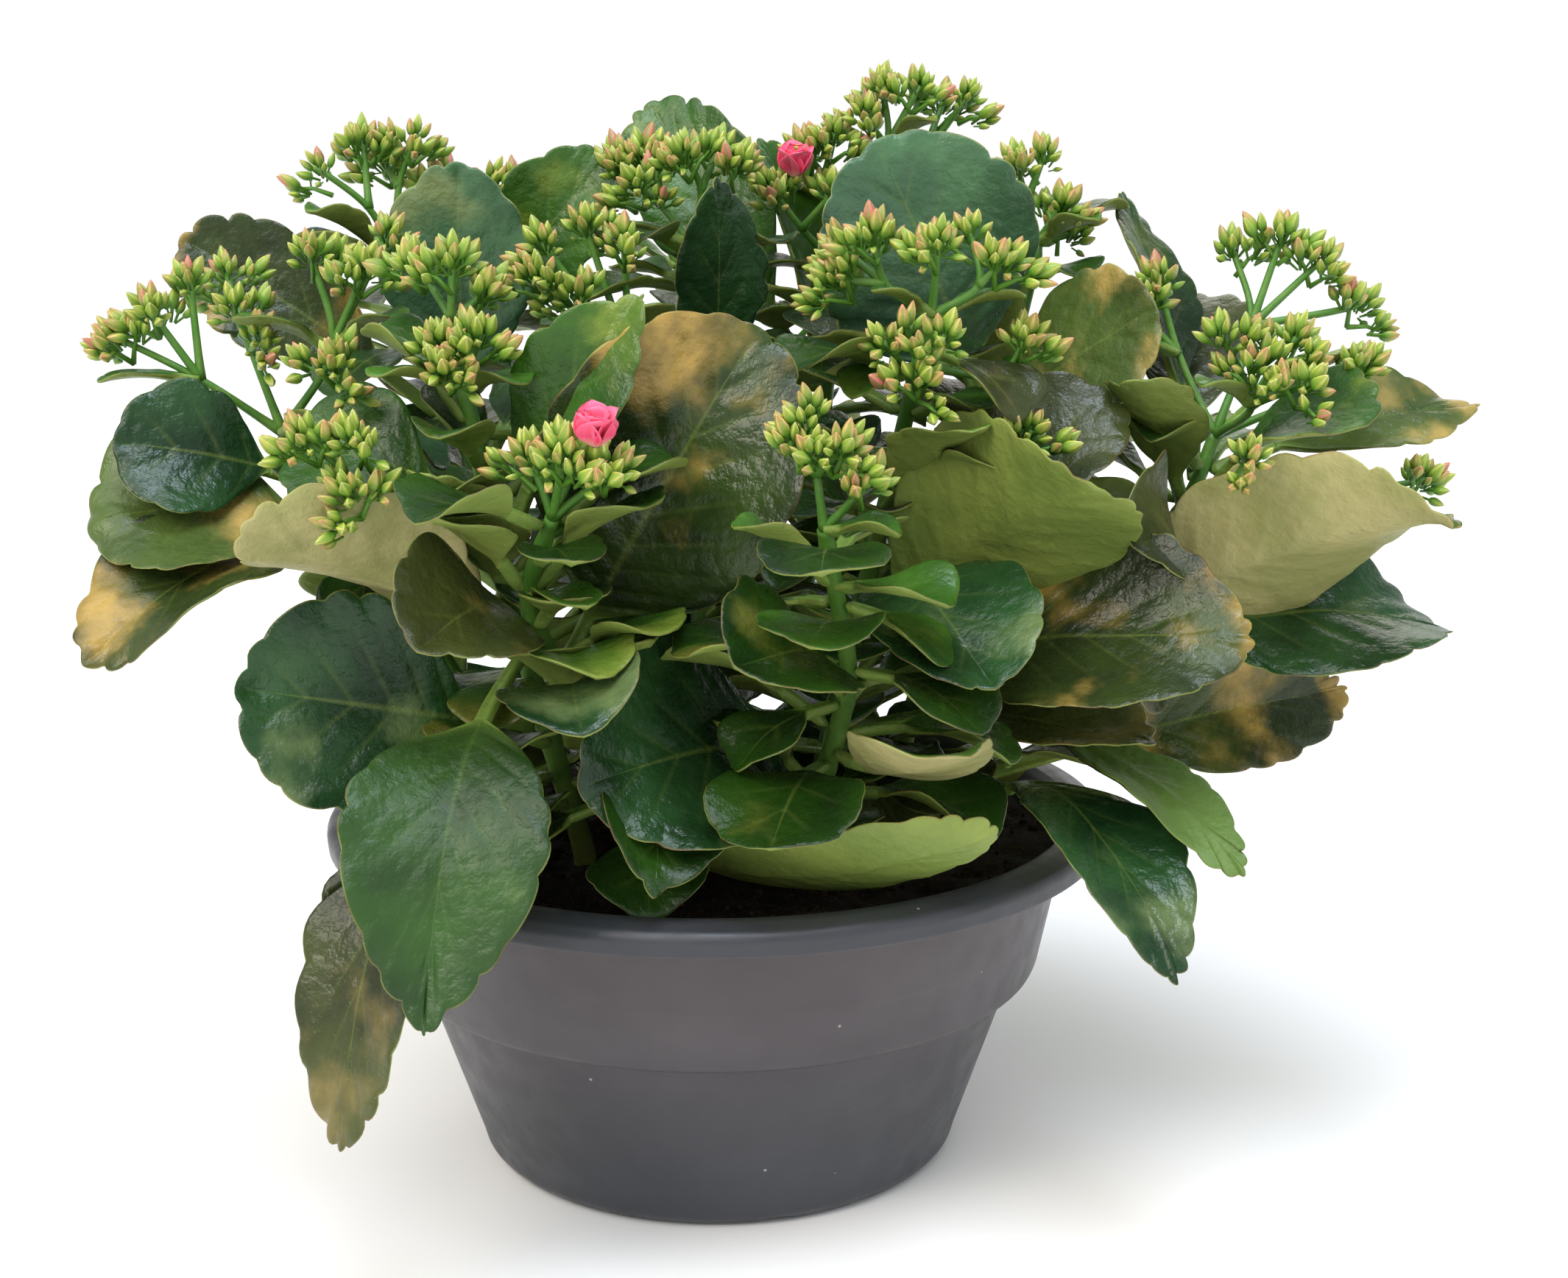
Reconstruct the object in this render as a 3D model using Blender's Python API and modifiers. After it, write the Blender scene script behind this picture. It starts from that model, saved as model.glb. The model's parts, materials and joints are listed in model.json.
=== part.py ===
"""Potted kalanchoe in bud: nursery bowl, soil, eleven flower stems, two open flowers, leaves.

Metres, +Z up. The origin is the middle of the bowl's underside, on the surface it stands on, and
the front faces -Y. The rows that place stems and leaves are in millimetres: x and y from the
bowl's axis, as on a bowl of 115 mm rim radius, and z above the rim.
"""

import math
from dataclasses import dataclass

import bmesh
import bpy
from mathutils import Matrix, Vector
from mathutils.bvhtree import BVHTree

MM = 0.001

# Bowl: overall sizes
RIM_RADIUS = 0.115
POT_HEIGHT = 0.104
# Bowl: wall and lip
WALL = 0.0018
LIP_OVERHANG = 0.0105        # rim past the outside of the wall
LIP_DROP = 0.008             # depth of the lip's skirt
LIP_CREST = 0.004            # crest of the lip past the outside of the wall
SKIRT_WALL = 0.0016
# Bowl: band under the lip, body and base
BAND_HEIGHT = 0.044          # rim to the foot of the band
BAND_TAPER = 0.0085
BAND_STEP = 0.0075           # how far the body stands in from the band
STEP_HEIGHT = 0.005
BODY_TAPER = 0.016
BASE_ROUND = 0.008
FLOOR = 0.0035
GROOVE_WIDTH = 0.009
GROOVE_DEPTH = 0.0022
GROOVE_START = 0.045         # radius where a drain groove begins
GROOVE_PAIR = 11             # degrees each groove stands from the middle of its pair
GROOVE_TURNS = (-65, 25, 115, 205)
TURN_STEPS = 40

# Soil
SOIL_DROP = 0.010            # soil's edge below the rim
SOIL_MOUND = 0.003
SOIL_GAP = 0.0005
ROOT_DEPTH = 0.012           # how deep a stem stands in the soil

# Plant
SPREAD = RIM_RADIUS / 115    # metres for each millimetre of x and y in the rows
CLEARANCE = 0.0003           # gap between pieces that touch
STEM_RADIUS = 0.0038
STALK_RADIUS = 0.0017
HEAD_RADIUS = 0.0082
HEAD_HEIGHT = 0.0072
FLOWER_RADIUS = 0.0062
FLOWER_HEIGHT = 0.0042
LEAF_THICKNESS = 0.0018
PETIOLE_WIDTH = 0.0046
PETIOLE_SHARE = 0.24         # part of a leaf's length that is petiole
LEAF_STATIONS = (0.03, PETIOLE_SHARE, 0.42, 0.63, 0.83, 0.955)
LEAF_SIZES = (1.0, 0.92, 0.84, 0.76, 0.68, 0.6, 0.5, 0.4)
TURN_LIMIT = 48              # degrees a leaf may turn to find room
TURN_STEP = 3
BRACT_THICKNESS = 0.0014
BRACT_STATIONS = (0.1, 0.55, 0.86)
BRACT_ARCH = 0.06            # share of a young leaf's length
BRACT_CUP = 0.2


@dataclass(frozen=True)
class FlowerStem:
    """One stem: its axis, the stalks that fork from it and its young leaves.

    axis: points from the soil up. stalks: each runs from a fork to the middle of a bud head.
    bracts: (fork, tip, width) of each young leaf under the heads.
    """
    axis: tuple
    stalks: tuple
    bracts: tuple = ()


@dataclass(frozen=True)
class Leaf:
    """One leaf. height is where it leaves its stem; faces is the azimuth and elevation in
    degrees that its upper side looks to; arch is how far its middle stands out on that side."""
    stem: str
    height: float
    tip: tuple
    width: float
    faces: tuple
    arch: float = 8
    cup: float = 0.15


STEMS = {
    "a": FlowerStem(
        axis=((-50, -5, -4), (-66, -12, 25), (-92, -21, 72), (-112, -26, 104), (-119, -27, 114)),
        stalks=(
            ((-119, -27, 114), (-140, -30, 129), (-163, -30, 141)),
            ((-140, -30, 129), (-153, -32, 149)),
            ((-140, -30, 129), (-143, -24, 156)),
            ((-119, -27, 114), (-127, -24, 136), (-136, -10, 157)),
            ((-127, -24, 136), (-131, -28, 149)),
            ((-127, -24, 136), (-122, -36, 142)),
            ((-119, -27, 114), (-104, -29, 138), (-110, -26, 164)),
            ((-104, -29, 138), (-93, -33, 160)),
            ((-104, -29, 138), (-89, -18, 168)),
            ((-104, -29, 138), (-99, -50, 132), (-98, -63, 137)),
        ),
        bracts=(((-140, -30, 129), (-166, -38, 130), 9), ((-104, -29, 138), (-128, -42, 146), 15),
                ((-104, -29, 138), (-82, -38, 148), 14), ((-119, -27, 114), (-100, -52, 121), 14)),
    ),
    "b": FlowerStem(
        axis=((-36, 36, -4), (-52, 42, 40), (-76, 46, 96), (-93, 48, 138), (-97, 48, 156)),
        stalks=(
            ((-97, 48, 156), (-104, 44, 172), (-118, 40, 184)),
            ((-104, 44, 172), (-106, 50, 192)),
            ((-97, 48, 156), (-96, 52, 178), (-90, 50, 193)),
            ((-96, 52, 178), (-101, 58, 186)),
            ((-97, 48, 156), (-82, 54, 164), (-84, 60, 182)),
            ((-82, 54, 164), (-68, 58, 180)),
            ((-82, 54, 164), (-55, 62, 178)),
        ),
        bracts=(((-97, 48, 156), (-120, 28, 172), 15), ((-97, 48, 156), (-84, 26, 168), 13)),
    ),
    "c": FlowerStem(
        axis=((-38, -34, -4), (-46, -48, 34), (-55, -62, 80), (-61, -69, 118), (-64, -70, 132)),
        stalks=(
            ((-64, -70, 132), (-67, -66, 148), (-77, -58, 163)),
            ((-67, -66, 148), (-66, -68, 164)),
            ((-67, -66, 148), (-57, -60, 156)),
            ((-64, -70, 132), (-70, -80, 144)),
            ((-64, -70, 132), (-58, -80, 146)),
            ((-64, -70, 132), (-67, -86, 138)),
            ((-55, -62, 80), (-78, -80, 98), (-102, -90, 122)),
            ((-78, -80, 98), (-90, -92, 122)),
            ((-78, -80, 98), (-90, -98, 109)),
        ),
        bracts=(((-64, -70, 132), (-86, -84, 136), 13), ((-64, -70, 132), (-46, -84, 134), 14),
                ((-55, -62, 80), (-70, -104, 114), 22)),
    ),
    "d": FlowerStem(
        axis=((-16, -52, -4), (-28, -66, 30), (-42, -78, 62), (-47, -86, 80), (-39, -102, 103)),
        stalks=(
            ((-39, -102, 103), (-44, -106, 119)),
            ((-39, -102, 103), (-35, -113, 121)),
            ((-39, -102, 103), (-22, -108, 117)),
            ((-39, -102, 103), (-31, -98, 121)),
        ),
        bracts=(((-47, -86, 80), (-30, -112, 82), 15), ((-42, -78, 62), (-28, -114, 66), 26)),
    ),
    "e": FlowerStem(
        axis=((-8, 15, -4), (-5, 19, 56), (-2, 20, 116), (-4, 20, 150), (-7, 20, 163)),
        stalks=(
            ((-7, 20, 163), (-16, 24, 174), (-28, 30, 188)),
            ((-16, 24, 174), (-17, 28, 189)),
            ((-16, 24, 174), (-23, 12, 180)),
            ((-7, 20, 163), (-4, 18, 178), (-9, 12, 189)),
            ((-4, 18, 178), (1, 26, 190)),
            ((-7, 20, 163), (8, 18, 186)),
            ((-4, 19, 90), (-24, -8, 132), (-38, -34, 152)),
            ((-24, -8, 132), (-48, -36, 158)),
            ((-24, -8, 132), (-48, -10, 165)),
            ((-24, -8, 132), (-36, -8, 170)),
            ((-24, -8, 132), (-25, -12, 166)),
        ),
        bracts=(((-7, 20, 163), (-30, 14, 168), 9), ((-4, 20, 150), (-36, -12, 150), 20),
                ((-24, -8, 132), (-16, -34, 150), 16)),
    ),
    "f": FlowerStem(
        axis=((22, 46, -4), (27, 50, 50), (33, 52, 110), (39, 52, 152), (41, 52, 168)),
        stalks=(
            ((39, 52, 152), (26, 42, 166), (16, 38, 179)),
            ((26, 42, 166), (36, 36, 178)),
            ((41, 52, 168), (33, 52, 181), (26, 52, 190)),
            ((33, 52, 181), (36, 48, 194)),
            ((41, 52, 168), (52, 56, 190), (51, 62, 208)),
            ((52, 56, 190), (62, 56, 208)),
            ((52, 56, 190), (44, 48, 200)),
            ((41, 52, 168), (64, 62, 188), (77, 60, 205)),
            ((64, 62, 188), (70, 70, 203)),
        ),
        bracts=(((33, 52, 110), (14, 66, 192), 26), ((52, 56, 190), (66, 44, 198), 10),
                ((41, 52, 168), (22, 70, 178), 14)),
    ),
    "g": FlowerStem(
        axis=((28, -6, -4), (37, -18, 44), (47, -30, 92), (55, -44, 134), (58, -50, 148)),
        stalks=(
            ((58, -50, 148), (46, -46, 156), (42, -50, 170)),
            ((46, -46, 156), (31, -44, 157)),
            ((46, -46, 156), (34, -34, 165)),
            ((58, -50, 148), (59, -58, 168)),
            ((58, -50, 148), (70, -52, 156), (68, -46, 170)),
            ((70, -52, 156), (78, -54, 163)),
            ((55, -44, 134), (52, -60, 134), (44, -70, 143)),
            ((52, -60, 134), (60, -70, 145)),
            ((52, -60, 134), (54, -74, 133)),
            ((55, -44, 134), (76, -48, 132), (84, -50, 143)),
            ((47, -30, 92), (72, -52, 102), (84, -62, 119)),
        ),
        bracts=(((58, -50, 148), (42, -62, 156), 10), ((58, -50, 148), (84, -38, 152), 11),
                ((55, -44, 134), (36, -62, 128), 17), ((47, -30, 92), (70, -76, 122), 26)),
    ),
    "h": FlowerStem(
        axis=((20, -46, -4), (29, -62, 24), (35, -80, 56), (31, -95, 84), (28, -103, 100)),
        stalks=(
            ((28, -103, 100), (26, -104, 114), (24, -103, 130)),
            ((26, -104, 114), (19, -110, 123)),
            ((26, -104, 114), (32, -114, 122)),
            ((28, -103, 100), (40, -109, 114)),
        ),
        bracts=(((31, -95, 84), (58, -116, 84), 26), ((31, -95, 84), (6, -106, 102), 22),
                ((28, -103, 100), (46, -112, 100), 13)),
    ),
    "i": FlowerStem(
        axis=((54, 30, -4), (68, 34, 46), (84, 36, 108), (94, 36, 150), (96, 36, 162)),
        stalks=(
            ((96, 36, 162), (93, 38, 174), (90, 42, 186)),
            ((93, 38, 174), (98, 38, 188)),
            ((96, 36, 162), (103, 30, 174)),
            ((96, 36, 162), (108, 36, 165)),
        ),
        bracts=(((84, 36, 108), (67, 6, 172), 30), ((96, 36, 162), (112, 20, 170), 13)),
    ),
    "j": FlowerStem(
        axis=((62, -8, -4), (80, -12, 22), (108, -14, 56), (134, -11, 90), (143, -8, 110)),
        stalks=(
            ((143, -8, 110), (134, 4, 132), (128, 10, 154)),
            ((134, 4, 132), (118, 8, 149)),
            ((143, -8, 110), (155, 6, 140), (151, 18, 162)),
            ((155, 6, 140), (164, 10, 166)),
            ((155, 6, 140), (176, 10, 159)),
            ((155, 6, 140), (178, 6, 144), (189, 10, 146)),
            ((143, -8, 110), (148, -32, 122), (137, -40, 142)),
            ((148, -32, 122), (144, -48, 135)),
            ((148, -32, 122), (158, -38, 141)),
            ((148, -32, 122), (159, -52, 130)),
            ((143, -8, 110), (168, -14, 122), (183, -20, 132)),
            ((134, -11, 90), (140, -40, 100), (142, -60, 112)),
            ((134, -11, 90), (175, -14, 94), (202, -20, 99)),
        ),
        bracts=(((143, -8, 110), (186, -2, 134), 17), ((134, 4, 132), (108, 0, 140), 10),
                ((148, -32, 122), (130, -56, 130), 12), ((134, -11, 90), (112, -46, 130), 26)),
    ),
    "k": FlowerStem(
        axis=((-4, 62, -4), (-4, 80, 40), (-8, 100, 96), (-12, 110, 138), (-13, 112, 150)),
        stalks=(
            ((-13, 112, 150), (-22, 112, 166), (-30, 110, 176)),
            ((-22, 112, 166), (-20, 118, 182)),
            ((-13, 112, 150), (-4, 116, 166), (-8, 108, 184)),
            ((-4, 116, 166), (4, 122, 178)),
            ((-8, 100, 96), (30, 112, 130), (44, 112, 152)),
            ((30, 112, 130), (34, 124, 148)),
            ((30, 112, 130), (56, 122, 144)),
            ((-8, 100, 96), (-46, 104, 128), (-54, 106, 148)),
            ((-46, 104, 128), (-66, 104, 142)),
        ),
        bracts=(((-13, 112, 150), (-38, 118, 158), 15), ((-13, 112, 150), (10, 128, 160), 14),
                ((30, 112, 130), (56, 104, 134), 13), ((-46, 104, 128), (-68, 116, 130), 13)),
    ),
}

# Open flowers and their middles
FLOWERS = {
    "flower_front": (-27, -116, 122),
    "flower_back": (24, 38, 184),
}

LEAVES = {
    # front and middle
    "leaf_c1": Leaf("c", 46, (12, -76, 147), 66, (-82, 28), 10),
    "leaf_g1": Leaf("g", 60, (96, -94, 108), 58, (95, 5), 6),
    "leaf_g2": Leaf("g", 34, (132, -94, 76), 60, (-80, 50), 12),
    "leaf_g3": Leaf("g", 20, (-34, -104, 34), 64, (-95, 30), 10),
    "leaf_c2": Leaf("c", 56, (-70, -142, -16), 50, (-98, 38), 22),
    "leaf_c3": Leaf("c", 20, (-93, -142, -42), 36, (-120, 45), 34),
    "leaf_j1": Leaf("j", 54, (192, -74, 104), 54, (110, 12), 6),
    "leaf_j2": Leaf("j", 48, (208, -22, 55), 52, (-80, 52), 12),
    "leaf_i1": Leaf("i", 108, (52, 12, 199), 64, (-92, 12), 8),
    "leaf_c4": Leaf("c", 34, (-122, -86, 56), 56, (-112, 18), 8),
    "leaf_a1": Leaf("a", 78, (-160, -86, 62), 44, (-112, 52), 14),
    "leaf_a2": Leaf("a", 84, (-166, -58, 94), 56, (-118, 40), 10),
    "leaf_a3": Leaf("a", 98, (-160, -42, 122), 38, (-100, 34), 6),
    "leaf_c5": Leaf("c", 56, (-120, -112, 78), 48, (80, 50), 8),
    "leaf_c6": Leaf("c", 90, (-18, -84, 156), 38, (-118, 24), 6),
    "leaf_c7": Leaf("c", 100, (-110, -60, 114), 40, (-108, 42), 6),
    "leaf_c8": Leaf("c", 70, (-84, -114, 90), 40, (-100, 38), 8),
    "leaf_h1": Leaf("h", 52, (8, -122, 72), 46, (-108, 38), 8),
    "leaf_g4": Leaf("g", 70, (66, -110, 60), 46, (-84, 30), 10),
    "leaf_h2": Leaf("h", 32, (66, -118, 48), 56, (84, 58), -4),
    "leaf_d1": Leaf("d", 6, (58, -124, 22), 32, (84, 20), -12),
    "leaf_d3": Leaf("d", 18, (-14, -114, 26), 36, (-80, 40), 8),
    "leaf_d2": Leaf("d", 46, (-22, -120, 44), 36, (-90, 40), 8),
    "leaf_g5": Leaf("g", 24, (118, -66, 34), 38, (-90, 72), 8),
    "leaf_j3": Leaf("j", 8, (190, 14, 30), 42, (-92, 26), 12),
    "leaf_j4": Leaf("j", 24, (138, -98, 18), 38, (-60, 56), 10, 0.45),
    "leaf_j5": Leaf("j", 4, (118, -114, -14), 38, (-64, 40), 22),
    "leaf_j6": Leaf("j", 92, (172, -64, 108), 42, (-80, 55), 8),
    "leaf_j7": Leaf("j", 98, (221, 2, 112), 34, (-88, 48), 8),
    "leaf_j8": Leaf("j", 62, (130, -70, 82), 44, (-60, 26), 12),
    "leaf_j9": Leaf("j", 100, (117, 32, 189), 28, (-25, 5), 4),
    "leaf_j10": Leaf("j", 96, (142, 54, 160), 42, (-90, 34), 6),
    "leaf_i2": Leaf("i", 96, (122, -24, 148), 50, (-88, 40), 8),
    "leaf_g6": Leaf("g", 76, (112, -40, 122), 40, (-84, 50), 8),
    # upper back, seen over the flower stems
    "leaf_b1": Leaf("b", 100, (-74, 20, 186), 44, (-92, 10), 5),
    "leaf_b2": Leaf("b", 108, (-158, 34, 164), 38, (-92, 30), 6),
    "leaf_b3": Leaf("b", 124, (-31, 40, 188), 34, (-92, 20), 5),
    "leaf_f1": Leaf("f", 116, (-4, 74, 214), 40, (-96, 12), 6),
    "leaf_e1": Leaf("e", 112, (0, -10, 184), 34, (-72, 10), 5),
    # round the back and low down
    "leaf_b4": Leaf("b", 50, (-140, 62, 66), 56, (140, 48), 12),
    "leaf_b5": Leaf("b", 78, (-92, 116, 98), 54, (116, 42), 10),
    "leaf_k1": Leaf("k", 46, (-48, 156, 52), 58, (106, 42), 14),
    "leaf_k2": Leaf("k", 60, (46, 156, 76), 58, (78, 42), 12),
    "leaf_i3": Leaf("i", 50, (112, 112, 70), 58, (46, 44), 12),
    "leaf_i4": Leaf("i", 76, (160, 66, 102), 52, (24, 46), 10),
}


def place(point):
    """A row's point, in metres in the bowl's frame."""
    x, y, z = point
    return Vector((x * SPREAD, y * SPREAD, POT_HEIGHT + z * MM))


def clear_scene():
    for old in list(bpy.data.objects):
        bpy.data.objects.remove(old, do_unlink=True)


def new_collection(name):
    collection = bpy.data.collections.new(name)
    bpy.context.scene.collection.children.link(collection)
    return collection


def material(name, colour, roughness, metallic=0.0):
    mat = bpy.data.materials.new(name)
    mat.use_nodes = True
    shader = mat.node_tree.nodes["Principled BSDF"]
    shader.inputs["Base Color"].default_value = (*colour, 1.0)
    shader.inputs["Roughness"].default_value = roughness
    shader.inputs["Metallic"].default_value = metallic
    mat.diffuse_color = (*colour, 1.0)
    return mat


def add_object(name, mesh, collection, mat=None):
    obj = bpy.data.objects.new(name, mesh)
    collection.objects.link(obj)
    if mat is not None:
        mesh.materials.append(mat)
    return obj


def mesh_from(bm, name):
    mesh = bpy.data.meshes.new(name)
    bm.to_mesh(mesh)
    bm.free()
    return mesh


def turned(name, outline, collection, mat):
    """A turned piece: the outline of (radius, height) pairs swept round the bowl's axis."""
    bm = bmesh.new()
    verts = [bm.verts.new((radius, 0.0, height)) for radius, height in outline]
    for first, second in zip(verts, verts[1:]):
        bm.edges.new((first, second))
    obj = add_object(name, mesh_from(bm, name), collection, mat)
    screw = obj.modifiers.new("turn", "SCREW")
    screw.axis = "Z"
    screw.steps = TURN_STEPS
    screw.render_steps = TURN_STEPS
    screw.use_merge_vertices = True
    screw.merge_threshold = 0.00001
    screw.use_smooth_shade = True
    return obj


def wall_radii():
    """Outside radii of the wall: under the lip, foot of the band, top of the body, base."""
    top = RIM_RADIUS - LIP_OVERHANG
    band_foot = top - BAND_TAPER
    body_top = band_foot - BAND_STEP
    return top, band_foot, body_top, body_top - BODY_TAPER


def inner_outline():
    """Inside of the bowl from the floor up to the lip."""
    top, band_foot, body_top, base = wall_radii()
    band_z = POT_HEIGHT - BAND_HEIGHT
    return [
        (base - WALL - 0.45 * BASE_ROUND, FLOOR),
        (base - WALL, FLOOR + 0.6 * BASE_ROUND),
        (body_top - WALL, band_z - 0.6 * STEP_HEIGHT),
        (band_foot - WALL, band_z + 0.4 * STEP_HEIGHT),
        (top - WALL, POT_HEIGHT - 0.4 * LIP_DROP),
    ]


def outer_outline():
    """Outside of the bowl from the lip's crest down to the foot."""
    top, band_foot, body_top, base = wall_radii()
    band_z = POT_HEIGHT - BAND_HEIGHT
    return [
        (top - WALL + 0.5 * LIP_CREST, POT_HEIGHT - 0.05 * LIP_DROP),
        (top + LIP_CREST, POT_HEIGHT),
        (RIM_RADIUS - 0.0013, POT_HEIGHT - 0.16 * LIP_DROP),
        (RIM_RADIUS, POT_HEIGHT - 0.42 * LIP_DROP),
        (RIM_RADIUS - 0.0004, POT_HEIGHT - LIP_DROP),
        (RIM_RADIUS - 0.0004 - SKIRT_WALL, POT_HEIGHT - LIP_DROP),
        (RIM_RADIUS - 0.0004 - SKIRT_WALL, POT_HEIGHT - 0.46 * LIP_DROP),
        (top, POT_HEIGHT - 0.42 * LIP_DROP),
        (band_foot, band_z),
        (band_foot - 0.15 * BAND_STEP, band_z - 0.5 * STEP_HEIGHT),
        (band_foot - 0.5 * BAND_STEP, band_z - 0.85 * STEP_HEIGHT),
        (body_top, band_z - STEP_HEIGHT),
        (base, BASE_ROUND),
        (base - 0.15 * BASE_ROUND, 0.45 * BASE_ROUND),
        (base - 0.42 * BASE_ROUND, 0.14 * BASE_ROUND),
        (base - 0.8 * BASE_ROUND, 0.0),
    ]


def cut(obj, cutter, name):
    """Takes the cutter's shape out of the object."""
    difference = obj.modifiers.new(name, "BOOLEAN")
    difference.operation = "DIFFERENCE"
    difference.solver = "EXACT"
    difference.object = cutter


def add_cutter(name, bm, cutters):
    cutter = add_object(name, mesh_from(bm, name), cutters)
    cutter.hide_render = True
    cutter.display_type = "WIRE"
    return cutter


def build_pot(collection, cutters):
    """The bowl with its turned-down lip, its band, and pairs of drain grooves under its base."""
    outline = [(0.0, FLOOR)] + inner_outline() + outer_outline() + [(0.0, 0.0)]
    pot = turned("pot", outline, collection, material("pot_plastic", (0.071, 0.066, 0.074), 0.45))
    bm = bmesh.new()
    length = RIM_RADIUS - GROOVE_START
    for middle in GROOVE_TURNS:
        for side in (-GROOVE_PAIR, GROOVE_PAIR):
            turn = Matrix.Rotation(math.radians(middle + side), 4, "Z")
            reach = Matrix.Translation((GROOVE_START + length / 2, 0.0, 0.0))
            size = Matrix.Diagonal((length, GROOVE_WIDTH, 2 * GROOVE_DEPTH, 1.0))
            bmesh.ops.create_cube(bm, size=1.0, matrix=turn @ reach @ size)
    cut(pot, add_cutter("groove_cutter", bm, cutters), "drain grooves")
    return pot


def build_soil(collection, cutters):
    """The soil, a gap off the bowl's wall, with a socket for the foot of each stem."""
    inside = inner_outline()
    edge_z = POT_HEIGHT - SOIL_DROP
    (low_r, low_z), (high_r, high_z) = inside[-2], inside[-1]
    edge_r = low_r + (high_r - low_r) * (edge_z - low_z) / (high_z - low_z) - SOIL_GAP
    outline = [
        (0.0, edge_z + SOIL_MOUND),
        (0.45 * edge_r, edge_z + 0.85 * SOIL_MOUND),
        (0.8 * edge_r, edge_z + 0.4 * SOIL_MOUND),
        (edge_r, edge_z),
    ]
    outline += [(radius - SOIL_GAP, height + CLEARANCE) for radius, height in inside[-2::-1]]
    outline.append((0.0, FLOOR + CLEARANCE))
    soil = turned("soil", outline, collection, material("peat", (0.022, 0.016, 0.012), 0.95))
    bm = bmesh.new()
    for stem in STEMS.values():
        foot = place(stem.axis[0])
        depth = 2 * (ROOT_DEPTH + CLEARANCE)
        middle = Matrix.Translation((foot.x, foot.y, edge_z + SOIL_MOUND))
        radius = (STEM_RADIUS + CLEARANCE) / math.cos(math.pi / 12)
        bmesh.ops.create_cone(bm, cap_ends=True, segments=12, radius1=radius, radius2=radius,
                              depth=depth, matrix=middle)
    cut(soil, add_cutter("socket_cutter", bm, cutters), "stem sockets")
    return soil


def tube(name, points, radii, resolution):
    """A tube through the points, as a closed mesh. The curve that makes it is removed again."""
    curve = bpy.data.curves.new(name, "CURVE")
    curve.dimensions = "3D"
    curve.bevel_depth = 1.0
    curve.bevel_resolution = resolution
    curve.use_fill_caps = True
    spline = curve.splines.new("POLY")
    spline.points.add(len(points) - 1)
    for knot, point, radius in zip(spline.points, points, radii):
        knot.co = (*point, 1.0)
        knot.radius = radius
    guide = bpy.data.objects.new(name, curve)
    bpy.context.scene.collection.objects.link(guide)
    bpy.context.view_layer.update()
    graph = bpy.context.evaluated_depsgraph_get()
    mesh = bpy.data.meshes.new_from_object(guide.evaluated_get(graph))
    bpy.data.objects.remove(guide, do_unlink=True)
    bpy.data.curves.remove(curve)
    bm = bmesh.new()
    bm.from_mesh(mesh)
    bpy.data.meshes.remove(mesh)
    bmesh.ops.remove_doubles(bm, verts=bm.verts, dist=0.00001)
    bmesh.ops.recalc_face_normals(bm, faces=bm.faces)
    return bm


def bud_head(middle):
    """The outer shape of a head of buds."""
    bm = bmesh.new()
    size = Matrix.Diagonal((HEAD_RADIUS, HEAD_RADIUS, HEAD_HEIGHT, 1.0))
    bmesh.ops.create_icosphere(bm, subdivisions=1, radius=1.0,
                               matrix=Matrix.Translation(middle) @ size)
    return bm


def lobed_ball(middle, radius, height, lobes, rings):
    """A ball with upright lobes, the outer shape of an open flower."""
    bm = bmesh.new()
    bmesh.ops.create_uvsphere(bm, u_segments=2 * lobes, v_segments=rings, radius=1.0)
    for vert in bm.verts:
        around = math.atan2(vert.co.y, vert.co.x)
        swell = 1.0 + 0.14 * math.cos(lobes * around)
        vert.co = Vector((vert.co.x * swell * radius, vert.co.y * swell * radius,
                          vert.co.z * height)) + middle
    return bm


def blade_width(share):
    """Half width of an obovate blade, as a share of its greatest, at a share of its length."""
    return math.sin(math.pi * share ** 1.15) ** 0.6


def leaf_mesh(root, tip, faces, width, arch, cup, thickness, stations):
    """A closed leaf lofted from root to tip.

    Each section has eight corners: both margins, three on the upper side and three below, which
    stand wider apart. A channelled petiole runs into the blade.
    """
    along = tip - root
    length = along.length
    along.normalize()
    up = (faces - along * faces.dot(along)).normalized()
    side = up.cross(along)

    def centre(share):
        return root + along * length * share + up * arch * math.sin(math.pi * share)

    bm = bmesh.new()
    start = bm.verts.new(centre(0.0))
    end = bm.verts.new(centre(1.0))
    rings = []
    for share in stations:
        ahead = (centre(share + 0.01) - centre(share - 0.01)).normalized()
        out = side.cross(ahead) * -1.0
        blade = max(0.0, (share - PETIOLE_SHARE) / (1.0 - PETIOLE_SHARE))
        half = max(0.5 * PETIOLE_WIDTH, 0.5 * width * blade_width(blade) if blade > 0 else 0.0)
        if share == stations[0]:
            half *= 0.7
        thick = thickness * (1.0 if blade > 0 else 1.5)
        ring = []
        for across, lift in ((-1.0, 0.0), (-0.45, 0.4), (0.0, 0.32), (0.45, 0.4), (1.0, 0.0),
                             (0.62, -0.42), (0.0, -0.68), (-0.62, -0.42)):
            bowl = cup * half * across * across if blade > 0 else 0.0
            ring.append(bm.verts.new(centre(share) + side * (across * half)
                                     + out * (lift * thick + bowl)))
        rings.append(ring)
    count = len(rings[0])
    for i in range(count):
        j = (i + 1) % count
        bm.faces.new((start, rings[0][j], rings[0][i]))
        bm.faces.new((end, rings[-1][i], rings[-1][j]))
        for low, high in zip(rings, rings[1:]):
            bm.faces.new((low[i], low[j], high[j]))
            bm.faces.new((low[i], high[j], high[i]))
    bmesh.ops.recalc_face_normals(bm, faces=bm.faces)
    return bm


def direction(azimuth, elevation):
    turn, rise = math.radians(azimuth), math.radians(elevation)
    return Vector((math.cos(turn) * math.cos(rise), math.sin(turn) * math.cos(rise),
                   math.sin(rise)))


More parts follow.
